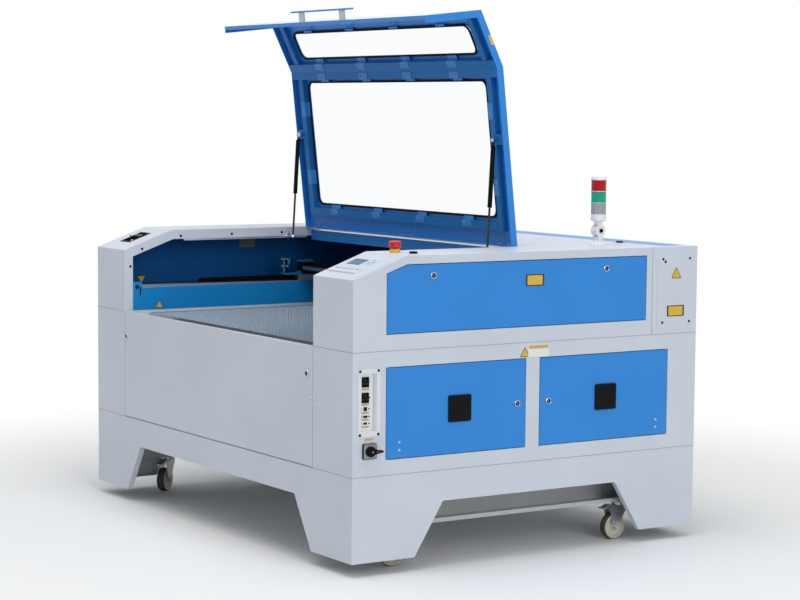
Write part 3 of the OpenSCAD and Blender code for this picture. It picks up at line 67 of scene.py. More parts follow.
# ------------ camera
# A long lens 8 m off the machine's right front corner, half a metre above its roof.
azimuth, elevation, tilt = (math.radians(a) for a in (56.88, 5.22, 0.502))
back = Vector((math.sin(azimuth) * math.cos(elevation), -math.cos(azimuth) * math.cos(elevation),
    math.sin(elevation)))
across = (-back).cross(Vector((0, 0, 1))).normalized()
upward = across.cross(-back)
across, upward = (across * math.cos(tilt) + upward * math.sin(tilt),
    upward * math.cos(tilt) - across * math.sin(tilt))
lens = bpy.data.cameras.new("long_lens")
lens.sensor_width = 36
lens.lens = 98.74
lens.shift_x = -0.0119
lens.shift_y = 0.0127
lens.clip_end = 100
camera = bpy.data.objects.new("camera", lens)
turn = Matrix((across, upward, back)).transposed().to_4x4()
eye = (6.7967, -4.3138, 1.4895)
camera.matrix_world = Matrix.Translation(eye) @ turn
bpy.context.collection.objects.link(camera)
bpy.context.scene.camera = camera
bpy.context.scene.view_settings.view_transform = "Standard"

# ------------ studio
# Pale painted floor that runs out into a white room, two soft boxes and an even sky. The floor
# and the room look white to the eye, to gloss and through glass, and keep the machine's shadow.


def linear(code):
    """Linear red, green, blue and alpha of an sRGB colour: c / 12.92 below 0.04045, and
    ((c + 0.055) / 1.055) ** 2.4 above it."""
    c = np.array([int(code[i:i + 2], 16) for i in (0, 2, 4)]) / 255
    return (*np.where(c <= 0.04045, c / 12.92, ((c + 0.055) / 1.055) ** 2.4).tolist(), 1.0)


def add(owner, kind, inputs=(), **settings):
    """Adds one node to a material or world, with its settings and its inputs. An input is a value,
    a socket, or a node, which stands for its first output."""
    tree = owner.node_tree
    made = tree.nodes.new("ShaderNode" + kind)
    for name, value in settings.items():
        setattr(made, name, value)
    for socket, value in dict(inputs).items():
        if isinstance(value, bpy.types.Node):
            value = value.outputs[0]
        if isinstance(value, bpy.types.NodeSocket):
            tree.links.new(value, made.inputs[socket])
        else:
            made.inputs[socket].default_value = value
    return made


def blank_material(name):
    """A material whose tree is empty."""
    made = bpy.data.materials.new(name)
    made.use_nodes = True
    made.node_tree.nodes.clear()
    return made


def seen_directly(owner):
    """1 on rays from the eye, off gloss or through glass, and 0 on the rays that light things."""
    path = add(owner, "LightPath").outputs
    either = add(owner, "Math", {0: path["Is Camera Ray"], 1: path["Is Glossy Ray"]},
        operation="MAXIMUM")
    return add(owner, "Math", {0: either, 1: path["Is Transmission Ray"]}, operation="MAXIMUM")


room = bpy.context.scene.world or bpy.data.worlds.new("white_room")
bpy.context.scene.world = room
room.use_nodes = True
room.node_tree.nodes.clear()
height = add(room, "SeparateXYZ", {0: add(room, "TexCoord").outputs["Generated"]}).outputs["Z"]
sky = add(room, "ValToRGB", {0: height})
sky.color_ramp.elements[0].color = (0.5, 0.53, 0.57, 1)
sky.color_ramp.elements[1].position = 0.6
sky.color_ramp.elements[1].color = (0.95, 0.98, 1.0, 1)
lit = add(room, "Background", {"Color": sky, "Strength": 0.54})
white_room = add(room, "Background", {"Color": (1, 1, 1, 1), "Strength": 1.0})
either = add(room, "MixShader", {0: seen_directly(room), 1: lit, 2: white_room})
add(room, "OutputWorld", {"Surface": either})

floor_mesh = bpy.data.meshes.new("studio_floor")
floor_mesh.from_pydata([(-30, -30, 0), (30, -30, 0), (30, 30, 0), (-30, 30, 0)], [], [(0, 1, 2, 3)])
studio_floor = bpy.data.objects.new("studio_floor", floor_mesh)
bpy.context.collection.objects.link(studio_floor)
floor_paint = blank_material("pale_floor_paint")
distance = add(floor_paint, "VectorMath", {0: add(floor_paint, "TexCoord").outputs["Object"]},
    operation="LENGTH").outputs["Value"]
far = add(floor_paint, "MapRange", {0: distance, 1: 1.2, 2: 3.2}, interpolation_type="SMOOTHSTEP")
fade = add(floor_paint, "Math", {0: far, 1: seen_directly(floor_paint)}, operation="MULTIPLY")
matte = add(floor_paint, "BsdfDiffuse", {"Color": linear("f4f4f4")})
glow = add(floor_paint, "Emission", {"Color": (1, 1, 1, 1), "Strength": 1.0})
add(floor_paint, "OutputMaterial",
    {"Surface": add(floor_paint, "MixShader", {0: fade, 1: matte, 2: glow})})
floor_mesh.materials.append(floor_paint)


def soft_box(name, at, towards, size, power):
    """A square lamp of that size at a place, facing a point."""
    lamp = bpy.data.lights.new(name, "AREA")
    lamp.size = size
    lamp.energy = power
    made = bpy.data.objects.new(name, lamp)
    made.matrix_world = Matrix.Translation(at) @ (Vector(at) - Vector(towards)).to_track_quat("Z",
        "Y").to_matrix().to_4x4()
    bpy.context.collection.objects.link(made)


soft_box("top_soft_box", (0.6, -0.8, 4.6), (0, 0, 0.8), 3.6, 104)
soft_box("side_soft_box", (18.0, -1.6, 6.2), (0, 0, 0.8), 9.0, 900)

# ------------ cabinet
# Sheet steel, cut, folded and welded, then powder coated: a pale cool grey on the cabinet and sky
# blue on the doors and the rear cover. The coat gives a fine orange peel and an even satin sheen.


def surface(owner, inputs):
    """Gives a material one principled surface with those inputs."""
    add(owner, "OutputMaterial", {"Surface": add(owner, "BsdfPrincipled", inputs)})
    return owner


def powder_coat(name, code, sheen=0.42, peel=0.1, gloss=0.35):
    """Baked powder paint: orange peel 6 mm across, drawn coarser than the real 1 mm so that it
    shows, cloudiness 0.3 m across, and a sheen that varies a little."""
    coat = blank_material(name)
    place = add(coat, "TexCoord").outputs["Object"]
    peel_mm, cloud_mm = 6, 300
    orange_peel = add(coat, "TexNoise", {"Vector": place, "Scale": 1000 / peel_mm, "Detail": 3.0})
    cloud = add(coat, "TexNoise", {"Vector": place, "Scale": 1000 / cloud_mm, "Detail": 2.0})
    tone = add(coat, "MapRange", {0: cloud.outputs["Fac"], 1: 0.3, 2: 0.7, 3: 0.96, 4: 1.03})
    shade = add(coat, "HueSaturation", {"Color": linear(code), "Value": tone})
    rough = add(coat, "MapRange", {0: orange_peel.outputs["Fac"], 3: sheen - 0.05, 4: sheen + 0.07})
    bump = add(coat, "Bump", {"Height": orange_peel.outputs["Fac"], "Strength": peel,
        "Distance": 0.0004})
    return surface(coat, {"Base Color": shade, "Roughness": rough, "IOR": 1.5,
        "Specular IOR Level": gloss, "Normal": bump})


def finish(names, *coats):
    """Gives the CAD pieces of those names their coats."""
    for name in names:
        parts[name].data.materials.clear()
        for coat in coats:
            parts[name].data.materials.append(coat)


cabinet_coat = powder_coat("cabinet_powder_coat", "ccd3dd")
sky_coat = powder_coat("sky_blue_powder_coat", "2c87d8", 0.36)
grey_sheets = ["skirt", "lower_left_box", "lower_right_box", "console_left", "console_right",
    "rear_box", "front_door"]
blue_sheets = ["side_door_front", "side_door_rear", "upper_side_panel"]
finish(grey_sheets + ["fixed_panels"], cabinet_coat)
finish(blue_sheets + ["rear_cover"], sky_coat)
# The base frame's grey is lighter than its paint: painted light for the bounce off the floor.
finish(["base_frame"], powder_coat("frame_grey_with_painted_bounce", "b6b9ba", 0.5))


def faces_of(mesh):
    """Centres and normals of a mesh's faces."""
    centre = np.empty(len(mesh.polygons) * 3)
    normal = np.empty(len(mesh.polygons) * 3)
    mesh.polygons.foreach_get("center", centre)
    mesh.polygons.foreach_get("normal", normal)
    return centre.reshape(-1, 3), normal.reshape(-1, 3)


def coats_by(name, coats, choose):
    """Gives a CAD piece several coats. choose takes the faces' centres and normals and says which
    coat each one has."""
    finish([name], *coats)
    centre, normal = faces_of(parts[name].data)
    parts[name].data.polygons.foreach_set("material_index",
        np.asarray(choose(centre, normal)).astype(np.int32))


# The sheets' folds are round: 1.2 mm on the cabinet and the doors.
for name in grey_sheets + blue_sheets:
    weld = parts[name].modifiers.new("one_skin", "WELD")
    weld.merge_threshold = 0.00001
    fold = parts[name].modifiers.new("round_folds", "BEVEL")
    fold.width, fold.segments = 0.0012, 2
    fold.limit_method, fold.angle_limit = "ANGLE", math.radians(50)

# The roof plate is grey on top and blue on its folded front edge.
coats_by("roof_plate", [sky_coat, cabinet_coat], lambda c, n: n[:, 2] > 0.9)

# ------------ lid
# A frame folded from blue sheet, with a front panel that is grey outside. The frame's coat is a
# deeper blue than the doors': painted shade for its inner faces, which turn away from the light.
# Its panes are clear cast acrylic, held against dull black rubber by small painted clips. Their
# IOR is matched low, so that they neither shine nor bend what lies behind them.


def plain(name, code, rough, metal=0.0, grain_mm=2.0, bump=0.05, **extra):
    """A moulded, plated or ground surface with a grain in its sheen and relief, 2 mm across unless
    given, which is coarser than the real grain so that it shows."""
    made = blank_material(name)
    place = add(made, "TexCoord").outputs["Object"]
    grain = add(made, "TexNoise", {"Vector": place, "Scale": 1000 / grain_mm, "Detail": 3.0})
    sheen = add(made, "MapRange", {0: grain.outputs["Fac"], 3: rough * 0.85,
        4: min(1, rough * 1.15)})
    relief = add(made, "Bump", {"Height": grain.outputs["Fac"], "Strength": bump,
        "Distance": 0.0003})
    return surface(made, {"Base Color": linear(code), "Roughness": sheen, "Metallic": metal,
        "Normal": relief, **extra})


low_gloss = {"Specular IOR Level": 0.08}
# The doors' blue made deeper as painted shade on the lid frame's inner faces.
shaded_lid_coat = powder_coat("shaded_lid_blue_powder_coat", "1f75bb", 0.4, gloss=0.15)
finish(["lid_clips"], powder_coat("clip_blue_powder_coat", "388fdc", 0.4, gloss=0.3))
finish(["lid_gaskets"], plain("black_rubber", "141517", 0.7, **low_gloss))
finish(["lid_panes"], plain("clear_acrylic", "fbfcfd", 0.03, 0.0, 2.0, 0.0,
    **{"Transmission Weight": 1.0, "IOR": 1.05}))
travel = {joint["name"]: joint for joint in frame["record"]["behaviour"]["joints"]}
lid_angle = math.radians(travel["lid_hinge"]["range_deg"][1])
open_front = np.array([0, -math.cos(lid_angle), math.sin(lid_angle)])
coats_by("lid_skin", [sky_coat, cabinet_coat], lambda c, n: (n @ open_front > 0.99)
    & (c @ open_front > (c @ open_front).max() - 0.0005))

# ------------ bay
# Lined with blue sheet in a darker blue than the lid's, as painted shade inside the bay, over a
# tub of bright galvanised sheet. The table's frame and the collars of the air ducts are zinc
# plated steel, which looks like dull silver.

zinc = plain("zinc_plated_steel", "b4b8bb", 0.32, 0.9)
# Darker blue on the liner: painted shade inside the bay.
finish(["bay_liner"], powder_coat("shaded_blue_bay_paint", "0c5796", 0.45, gloss=0.15))
finish(["bay_tub"], plain("bright_galvanised_sheet", "e2e6ea", 0.35, 0.3))
finish(["table_frame", "duct_collars"], zinc)

# ------------ vents and buttons
# Moulded ABS with a fine grain: a soft black on the door vents and the start button, off-white on
# its collar. The emergency stop is a glossier red button in a yellow collar.

black_abs = plain("black_moulded_abs", "131417", 0.45, **low_gloss)
off_white = plain("off_white_abs", "dde1e5", 0.4)
finish(["vent_front", "vent_rear", "start_button"], black_abs)
finish(["estop_button"], plain("red_button_plastic", "d31a10", 0.3, **{"Specular IOR Level": 0.3}))
between_buttons = 0.84
coats_by("button_collars", [plain("yellow_button_plastic", "e3b338", 0.35), off_white],
    lambda c, n: c[:, 0] > between_buttons)

# ------------ screws
# Socket-head button screws, M5 in the cabinet and M4 in the lid and panels, of blackened or bright
# steel. Each head is turned, and its socket is too small to need its six sides.

half_width, half_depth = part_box("skirt")[1][:2]
X, Y, Z = np.eye(3)


def skin(grid, round_rows=False, round_columns=False, ends=False):
    """Points and faces of a surface given on an (m, n) grid: each face joins four neighbours. Rows
    or columns may close on themselves, and ends puts a face over the first and the last row."""
    m, n = grid.shape[:2]
    i, j = np.meshgrid(np.arange(m if round_rows else m - 1),
        np.arange(n if round_columns else n - 1), indexing="ij")
    i2, j2 = (i + 1) % m, (j + 1) % n
    faces = np.stack([i * n + j, i * n + j2, i2 * n + j2, i2 * n + j], -1).reshape(-1, 4).tolist()
    if ends:
        faces += [list(range(n)), list(range((m - 1) * n, m * n))]
    return grid.reshape(-1, 3), faces


def circle(n, start=0.0):
    """n points round the unit circle: (cos a, sin a), with a in even steps from start."""
    a = start + 2 * np.pi * np.arange(n) / n
    return np.stack([np.cos(a), np.sin(a)], 1)


def raised(rings):
    """The grid of a stack of outlines, each at its own height."""
    return np.stack([np.column_stack([ring, np.full(len(ring), h)]) for ring, h in rings])


def turned(profile, sides=24):
    """A profile of (radius, height) pairs turned about Z: x = r cos a, y = r sin a, z = h."""
    return skin(raised([(r * circle(sides), h) for r, h in profile]), round_columns=True)


def facing(outward, upwards=(0, 0, 1)):
    """The frame whose Z points outward and whose Y is as near upwards as it can be."""
    z = np.array(outward, float) / np.linalg.norm(outward)
    x = np.cross(upwards, z)
    x = x / np.linalg.norm(x)
    return np.stack([x, np.cross(z, x), z], 1)


def copies(shape, places, frame=np.eye(3)):
    """The shape turned into a frame and repeated at each place."""
    points, faces = shape
    places = np.atleast_2d(places)
    moved = (places[:, None] + (points @ frame.T)[None]).reshape(-1, 3)
    count = len(points)
    return moved, [[k + c * count for k in face] for c in range(len(places)) for face in faces]


def on_right(shape, places):
    """Copies that face the machine's right."""
    return copies(shape, places, facing(X))


def piece(name, shapes, coat, body="cabinet"):
    """One object from one shape or several: doubles merged, faces turned outwards, and smooth
    except where faces meet at more than 35 degrees. coat is one material, or one for each shape."""
    shapes = [shapes] if isinstance(shapes, tuple) else shapes
    coats = coat if isinstance(coat, list) else [coat] * len(shapes)
    used = list(dict.fromkeys(coats))
    counts = np.cumsum([0] + [len(points) for points, faces in shapes])
    faces = [[k + start for k in face] for start, shape in zip(counts, shapes) for face in shape[1]]
    mesh = bpy.data.meshes.new(name)
    mesh.from_pydata(np.concatenate([points for points, _ in shapes]).tolist(), [], faces)
    index = np.concatenate([np.full(len(shape[1]), used.index(c))
        for shape, c in zip(shapes, coats)])
    for one in used:
        mesh.materials.append(one)
    mesh.polygons.foreach_set("material_index", index.astype(np.int32))
    work = bmesh.new()
    work.from_mesh(mesh)
    bmesh.ops.remove_doubles(work, verts=work.verts, dist=1e-6)
    bmesh.ops.recalc_face_normals(work, faces=work.faces)
    work.to_mesh(mesh)
    work.free()
    mesh.shade_smooth()
    mesh.set_sharp_from_angle(angle=math.radians(35))
    made = bpy.data.objects.new(name, mesh)
    bpy.context.collection.objects.link(made)
    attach(made, body)
    return made


def button_head(r, h):
    """Profile of a button head: a flat rim, a quarter-ellipse dome and a socket sunk half-way."""
    a = np.linspace(0.15, 1.1, 4)
    dome = np.stack([r * np.cos(a), h * np.sin(a)], 1).tolist()
    return turned([(0, h * 0.35), (r * 0.42, h * 0.35), (r * 0.45, h * 0.9)] + dome[::-1]
        + [(r, 0), (0, 0)], 12)


black_steel = plain("blackened_steel", "1c1d20", 0.35, 0.9)
bright_steel = plain("bright_zinc_screw", "c3c7ca", 0.28, 1.0)
m5 = button_head(0.0048, 0.0027)
plate_y, plate_z = np.array([0.551, 0.671]), np.array([0.763, 0.983])
plate_out = half_width + 0.0015
plate_at = [(plate_out, y, z) for y in plate_y for z in plate_z] + [(plate_out, 0.561, 0.974)]
piece("rear_plate_screws", on_right(m5, plate_at), black_steel)
socket_low, socket_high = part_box("socket_panel")
frame_y = [socket_low[1] + 0.007, socket_low[1] + 0.076]
piece("socket_panel_screws", on_right(m5, [(half_width + 0.002, y, z) for y in frame_y
    for z in (0.459, 0.663)]), black_steel)
for door, y in (("side_door_front", -0.527), ("side_door_rear", 0.53)):
    piece(door + "_screws", on_right(m5, [(half_width, y, z) for z in (0.426, 0.4)]), bright_steel,
        door)
piece("front_corner_screws", copies(m5, [(x, -half_depth, z) for x in (0.679, 0.726)
    for z in (0.551, 0.529)], facing(-Y)), bright_steel)

# ------------ signs
# Blank pressed aluminium plates in signal yellow with a black border, stuck to the cabinet where
# such machines carry their labels. Left bare: no words or symbols.


def rounded_outline(corners, r, n=5):
    """Corners of a convex outline, anticlockwise, rounded to radius r: each corner becomes an arc
    about the point r inside both of its edges."""
    p = np.array(corners, float)
    before, after = p - np.roll(p, 1, 0), np.roll(p, -1, 0) - p
    before /= np.linalg.norm(before, axis=1)[:, None]
    after /= np.linalg.norm(after, axis=1)[:, None]
    start = np.arctan2(-before[:, 0], before[:, 1])
    sweep = np.arctan2(before[:, 0] * after[:, 1] - before[:, 1] * after[:, 0],
        (before * after).sum(1))
    inward = (after - before) / np.sin(sweep)[:, None]
    centre = p + inward * r
    a = start[:, None] + sweep[:, None] * np.linspace(0, 1, n)
    return (centre[:, None] + r * np.stack([np.cos(a), np.sin(a)], -1)).reshape(-1, 2)


def slab(outline, low, high, edge=0.0):
    """An outline raised from low to high along Z, its upper edge drawn in by edge."""
    middle = outline.mean(0)
    reach = np.linalg.norm(outline - middle, axis=1).mean()
    inner = middle + (outline - middle) * (1 - edge / reach)
    rings = [(outline, low), (outline, high - edge)] + ([(inner, high)] if edge else [])
    return skin(raised(rings), round_columns=True, ends=True)


def oblong(w, h, r):
    """A rectangle about the middle with round corners."""
    return rounded_outline([(-w / 2, -h / 2), (w / 2, -h / 2), (w / 2, h / 2), (-w / 2, h / 2)], r)


yellow_plate = plain("yellow_enamelled_plate", "d9b233", 0.4)
black_edge = plain("black_printed_edge", "1d1a12", 0.45)
gold_strip = plain("yellow_blank_strip", "c8a74e", 0.45)


def sign(name, outline, at, body="cabinet"):
    """A black plate of the outline with a smaller yellow face on it, 0.6 mm thick together."""
    middle = outline.mean(0)
    face = middle + (outline - middle) * 0.83
    piece(name, [on_right(slab(outline, 0, 0.00042), at),
        on_right(slab(face, 0.00042, 0.0006, 0.0002), at)], [black_edge, yellow_plate],
        body)


def triangle(side):
    """An upright triangle of equal sides, with the origin half-way up it."""
    h = side * math.sqrt(3) / 2
    return rounded_outline([(-side / 2, -h / 2), (side / 2, -h / 2), (0, h / 2)], side * 0.06)


sign("upper_panel_sign", oblong(0.075, 0.038, 0.003), (half_width, 0.0035, 0.93),
    "upper_side_panel")
sign("rear_plate_sign", oblong(0.076, 0.038, 0.003), (plate_out, 0.609, 0.802))
sign("rear_plate_triangle", triangle(0.046), (plate_out, 0.61, 0.935))
sign("door_post_triangle", triangle(0.04), (half_width, -0.034, 0.692))
piece("door_post_strip",
    [on_right(slab(oblong(0.086, 0.04, 0.002), 0, 0.0005), (half_width, 0.022, 0.694)),
    on_right(slab(oblong(0.08, 0.011, 0.001), 0.0005, 0.0008), (half_width, 0.022, 0.7065))],
    [plain("white_blank_plate", "e4e6e2", 0.4), gold_strip])
bay_left, bay_right = (corner[0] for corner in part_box("roof_plate"))
bay_wall = -half_width + 0.062
sign("bay_wall_triangle", -triangle(0.036), (bay_wall, -0.5495, 0.824))
sign("rail_triangle", triangle(0.034), (bay_left, -0.559, 0.744))
piece("bay_wall_plate", on_right(slab(oblong(0.07, 0.034, 0.002), 0, 0.0006),
    (bay_wall, -0.083, 0.9555)), plain("grey_blank_plate", "6b7468", 0.5))

# ------------ joints
# Fine grey beads along the joints between the skirt, the lower boxes, the consoles and the rear
# box, almost flush: painted shadow lines for the thin gaps where the sheets meet.

rear_face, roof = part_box("rear_box")[0][1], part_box("rear_box")[1][2]
skirt_top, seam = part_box("skirt")[1][2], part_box("lower_left_box")[1][2]
bead, proud, sunk = 0.0008, 0.0004, 0.0002
w, d = half_width + proud, half_depth + proud
seams = []
for z, spans in ((skirt_top, [(-w, w)]), (seam, [(-w, bay_left), (bay_right, w)])):
    seams += [((lo, -d), (hi, -half_depth + sunk), z, z)
        for lo, hi in spans] + [((-w, half_depth - sunk), (w, d), z, z)]
    seams += [((-w, -d), (-half_width + sunk, d), z, z), ((half_width - sunk, -d), (w, d), z, z)]
seams += [((x - 0.0003, rear_face - bead), (x + 0.0003, rear_face + bead), seam, roof - 0.001)
    for x in (-w + 0.0001, w - 0.0001)]


def bar(lo, hi, edge=0.001):
    """A block between two corners with its upright edges rounded."""
    lo, hi = np.array(lo, float), np.array(hi, float)
    w, d = hi[:2] - lo[:2]
    outline = oblong(w, d, min(edge, 0.45 * min(w, d)))
    return copies(slab(outline, 0, hi[2] - lo[2], min(edge, 0.3 * (hi[2] - lo[2]))),
        [((lo + hi) / 2)[:2].tolist() + [lo[2]]])


# Painted shadow lines: grey beads where the sheets meet.
piece("joint_shadow_beads", [bar((*a, low - bead), (*b, high + bead), 0.0002)
    for a, b, low, high in seams], plain("grey_painted_joint_shadow", "8f969f", 0.6))

# ------------ signal tower
# Three lamps of moulded polycarbonate between rings of white ABS, on a stub that tilts in a
# knuckle. The lenses are ribbed inside, so that they look streaked from the side.

tower_low, tower_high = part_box("signal_tower")
tower_x, tower_y = (tower_low[0] + tower_high[0]) / 2, (tower_low[1] + tower_high[1]) / 2
tower_r = (tower_high[0] - tower_low[0]) / 2
lamp_h = 0.04
stack = tower_high[2] - 0.013 - 3 * lamp_h
white_abs = plain("glossy_white_abs", "e9ebee", 0.3)


def ribbed_lens(name, code, clear):
    """Coloured polycarbonate, part clear and part milky, with streaks 5.6 mm wide and 60 vertical
    ribs: sin(60 a) round the tower."""
    made = blank_material(name)
    place = add(made, "Mapping", {"Vector": add(made, "TexCoord").outputs["Object"],
        "Location": (-tower_x, -tower_y, 0)})
    split = add(made, "SeparateXYZ", {0: place})
    angle = add(made, "Math", {0: split.outputs["Y"], 1: split.outputs["X"]}, operation="ARCTAN2")
    ribs = add(made, "Math", {0: add(made, "Math", {0: angle, 1: 60.0}, operation="MULTIPLY")},
        operation="SINE")
    bump = add(made, "Bump", {"Height": ribs, "Strength": 0.25, "Distance": 0.0006})
    streak = add(made, "TexNoise",
        {"Vector": add(made, "Mapping", {"Vector": place, "Scale": (180, 180, 2)})})
    tone = add(made, "MapRange", {0: streak.outputs["Fac"], 1: 0.35, 2: 0.65, 3: 0.62, 4: 1.1})
    shade = add(made, "HueSaturation", {"Color": linear(code), "Value": tone})
    return surface(made, {"Base Color": shade, "Roughness": 0.12, "IOR": 1.58, "Normal": bump,
        "Specular IOR Level": 0.15, "Transmission Weight": clear})


def lamp(low):
    """A lens with a lip at each end and a barrel drawn in by 0.8 mm."""
    r, b = tower_r, tower_r - 0.0008
    return copies(turned([(0, 0.002), (r, 0.002), (r, 0.0034), (b, 0.0042), (b, lamp_h - 0.003),
        (r, lamp_h - 0.0022), (r, lamp_h - 0.0002), (0, lamp_h - 0.0002)], 48),
        (tower_x, tower_y, low))


for k, (name, code, clear, slot) in enumerate((("clear", "b9c0c9", 0.35, "instrument_plastic"),
        ("green", "0db293", 0.05, "instrument_plastic"), ("red", "c40816", 0.05, "red_plastic"))):
    piece("tower_" + name + "_lens", lamp(stack + k * lamp_h),
        ribbed_lens(name + "_polycarbonate", code, clear), "signal_tower")
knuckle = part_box("tower_base")[1][2] - 0.021
stub = [(0, knuckle + 0.02), (0.0145, knuckle + 0.02), (0.015, knuckle + 0.031),
    (tower_r - 0.003, knuckle + 0.034), (tower_r, knuckle + 0.037), (tower_r, stack - 0.0002),
    (0, stack - 0.0002)]
cap = [(0, stack + 3 * lamp_h), (tower_r, stack + 3 * lamp_h), (tower_r, tower_high[2] - 0.004),
    (tower_r - 0.0015, tower_high[2] - 0.001), (tower_r - 0.006, tower_high[2]), (0, tower_high[2])]
at_tower = (tower_x, tower_y, 0)
hub = on_right(turned([(0.0051, -0.007), (0.019, -0.007), (0.019, 0.007), (0.0051, 0.007),
    (0.0051, -0.007)], 40), (tower_x, tower_y, knuckle))
ring = turned([(0, 0), (tower_r, 0), (tower_r, 0.0018), (0, 0.0018)], 48)
rings = [copies(ring, (tower_x, tower_y, stack + k * lamp_h)) for k in range(3)]
tower_body = piece("tower_body", [copies(turned(stub, 48), at_tower),
    copies(turned(cap, 48), at_tower), hub, *rings], white_abs,
    "signal_tower")
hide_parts("signal_tower")
finish(["tower_base"], white_abs)
piece("tower_knuckle_bolt",
    on_right(turned([(0, 0.0008), (0.0035, 0.0008), (0.0036, 0.0035), (0.0065, 0.0035),
    (0.007, 0.0028), (0.007, 0), (0, 0)], 20), (tower_x + 0.017, tower_y, knuckle)), black_steel)

# ------------ lid hardware
# Bright M4 screws hold the glazing clips and the three hinge leaves; the leaves are folded from
# 1.5 mm sheet and painted with the lid. Along the roof's front edge a bright anodised strip leans
# back a little so that it catches the light: a painted highlight for the lit top edge of the roof
# between the lid and the roof's blue fold.

bay_middle = (bay_left + bay_right) / 2
hinge_line = np.array([0, 0.11, roof])
lid_turn = np.array(Matrix.Rotation(-lid_angle, 3, "X"))
slope_rise, slope_run, slope_foot = 0.072, 0.199, 0.953
slope_angle = math.atan2(slope_rise, slope_run)
slope_in = np.array([0, math.sin(slope_angle), -math.cos(slope_angle)])
slope_up = np.array([0, math.cos(slope_angle), math.sin(slope_angle)])


def opened(points):
    """Points of the closed lid, turned about its hinge to the open position."""
    return (np.atleast_2d(points) - hinge_line) @ lid_turn.T + hinge_line


def on_slope(x, s, h):
    """A point over the consoles' slope: x across, s up the slope and h out from it."""
    return np.array([x, -half_depth, slope_foot]) + s * slope_up - h * slope_in


window_half = 0.601
clip_x = bay_middle + 2 * window_half * np.array([-0.39, -0.14, 0.11, 0.36])
m4 = button_head(0.0038, 0.0022)
flat_in = lid_turn @ facing(-Z, Y)
fold_in = lid_turn @ facing(slope_in, slope_up)
pair = (clip_x[:, None] + [-0.014, 0.014]).ravel()
channel_face, box_face, skin_face = 0.0236, 0.0266, 0.0036
flat_screws = [(x, y, roof - d) for x in pair
    for y, d in ((0.039, channel_face), (-0.484, box_face))]
flat_screws += [(bay_middle + side * 0.634, y + dy, roof - channel_face) for side in (-1, 1)
    for y in (-0.357, -0.092) for dy in (-0.014, 0.014)]
fold_screws = [on_slope(x, s, -d) for x in pair for s, d in ((0.1866, box_face), (0.03, skin_face))]
dull_steel = plain("dull_zinc_screw", "8b8883", 0.45, 0.7)
piece("clip_screws", [copies(m4, opened(flat_screws), flat_in),
    copies(m4, opened(fold_screws), fold_in)], dull_steel, "lid")
hinge_x = bay_middle + np.array([-0.62, 0, 0.62])
leaf = slab(oblong(0.064, 0.021, 0.003), 0, 0.0015, 0.0004)
piece("hinge_leaves", copies(leaf, opened([(x, 0.0925, roof - 0.002) for x in hinge_x]), flat_in),
    sky_coat, "lid")
piece("hinge_screws", copies(button_head(0.005, 0.0028),
    opened([(x + dx, 0.0925, roof - 0.0035) for x in hinge_x for dx in (-0.019, 0.019)]), flat_in),
    dull_steel, "lid")
lid_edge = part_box("lid_skin")[1][0]
piece("lid_flange_label", copies(slab(oblong(0.036, 0.011, 0.001), 0, 0.0004),
    opened(on_slope(lid_edge, 0.109, -0.0065)), lid_turn @ np.stack([slope_up, -slope_in, X], 1)),
    yellow_plate, "lid")
# The strip is a painted highlight: it stands in for the roof's lit top edge under the lid.
lean = math.radians(11)
trim_face = facing((0, -math.cos(lean), math.sin(lean)), (0, math.sin(lean), math.cos(lean)))
piece("roof_edge_highlight_strip", copies(slab(oblong(bay_right - bay_left - 0.006, 0.009, 0.0005), 0, 0.0005,
    0.0002), (bay_middle, 0.1116, roof - 0.0078), trim_face),
    plain("anodised_highlight_trim", "f2f4f6", 0.25, 0.9))

# ------------ gas struts
# Black enamelled cylinders and dark nitrided rods. Their end eyes are plated and turn on chromed
# ball studs, which are riveted to the lid's channels and to the consoles' lips.

enamel = plain("black_enamel", "060607", 0.22, **low_gloss)
nitrided = plain("dark_nitrided_rod", "101114", 0.3, 0.2)
chrome = plain("bright_chrome", "d5d7d9", 0.15, 1.0)
upper_pivot = opened((0, hinge_line[1] - 0.37, roof - 0.04))[0, 1:]
lower_pivot = np.array([hinge_line[1] - 0.104, roof - 0.036])


def near(centre, pivot, r):
    """Whether each face's centre is within r of the pivot's axis along X."""
    return np.linalg.norm(centre[:, 1:] - pivot, axis=1) < r


eye_r, stud_r = 0.0085, 0.0052
# The lid frame's coat here is the deeper blue of painted shade.
for name, coat, pivot, r in (("strut_cylinders", enamel, upper_pivot, eye_r),
        ("strut_rods", nitrided, lower_pivot, eye_r), ("lid_frame", shaded_lid_coat, upper_pivot, stud_r),
        ("console_left", cabinet_coat, lower_pivot, stud_r),
        ("console_right", cabinet_coat, lower_pivot, stud_r)):
    coats_by(name, [coat, chrome], lambda c, n: near(c, pivot, r))
strut_way = (upper_pivot - lower_pivot) / np.linalg.norm(upper_pivot - lower_pivot)
strut_frame = facing([0, *strut_way], X)
gland = turned([(0.0042, 0.0), (0.0074, 0.0), (0.0082, 0.0012), (0.0082, 0.0078), (0.0074, 0.009),
    (0.0042, 0.009)], 28)
eye_width, rod_ends = 0.01, [corner[0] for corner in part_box("strut_rods")]
strut_x = [rod_ends[0] + eye_width / 2, rod_ends[1] - eye_width / 2]
cylinder_end = upper_pivot - 0.23 * strut_way
piece("strut_glands", copies(gland, [(x, *(cylinder_end + 0.0002 * strut_way)) for x in strut_x],
    strut_frame), enamel, "strut_cylinders")
stud_cap = turned([(0, 0.0026), (0.0026, 0.0022), (0.0044, 0.001), (0.005, 0), (0, 0)], 20)
for name, pivot, body, size in (("upper", upper_pivot, "strut_cylinders", 1.3),
        ("lower", lower_pivot, "strut_rods", 1.6)):
    piece("strut_studs_" + name,
        [copies((stud_cap[0] * size, stud_cap[1]), [(x - side * 0.005, *pivot)], facing(-side * X))
        for x, side in zip(strut_x, (-1, 1))], chrome, body)

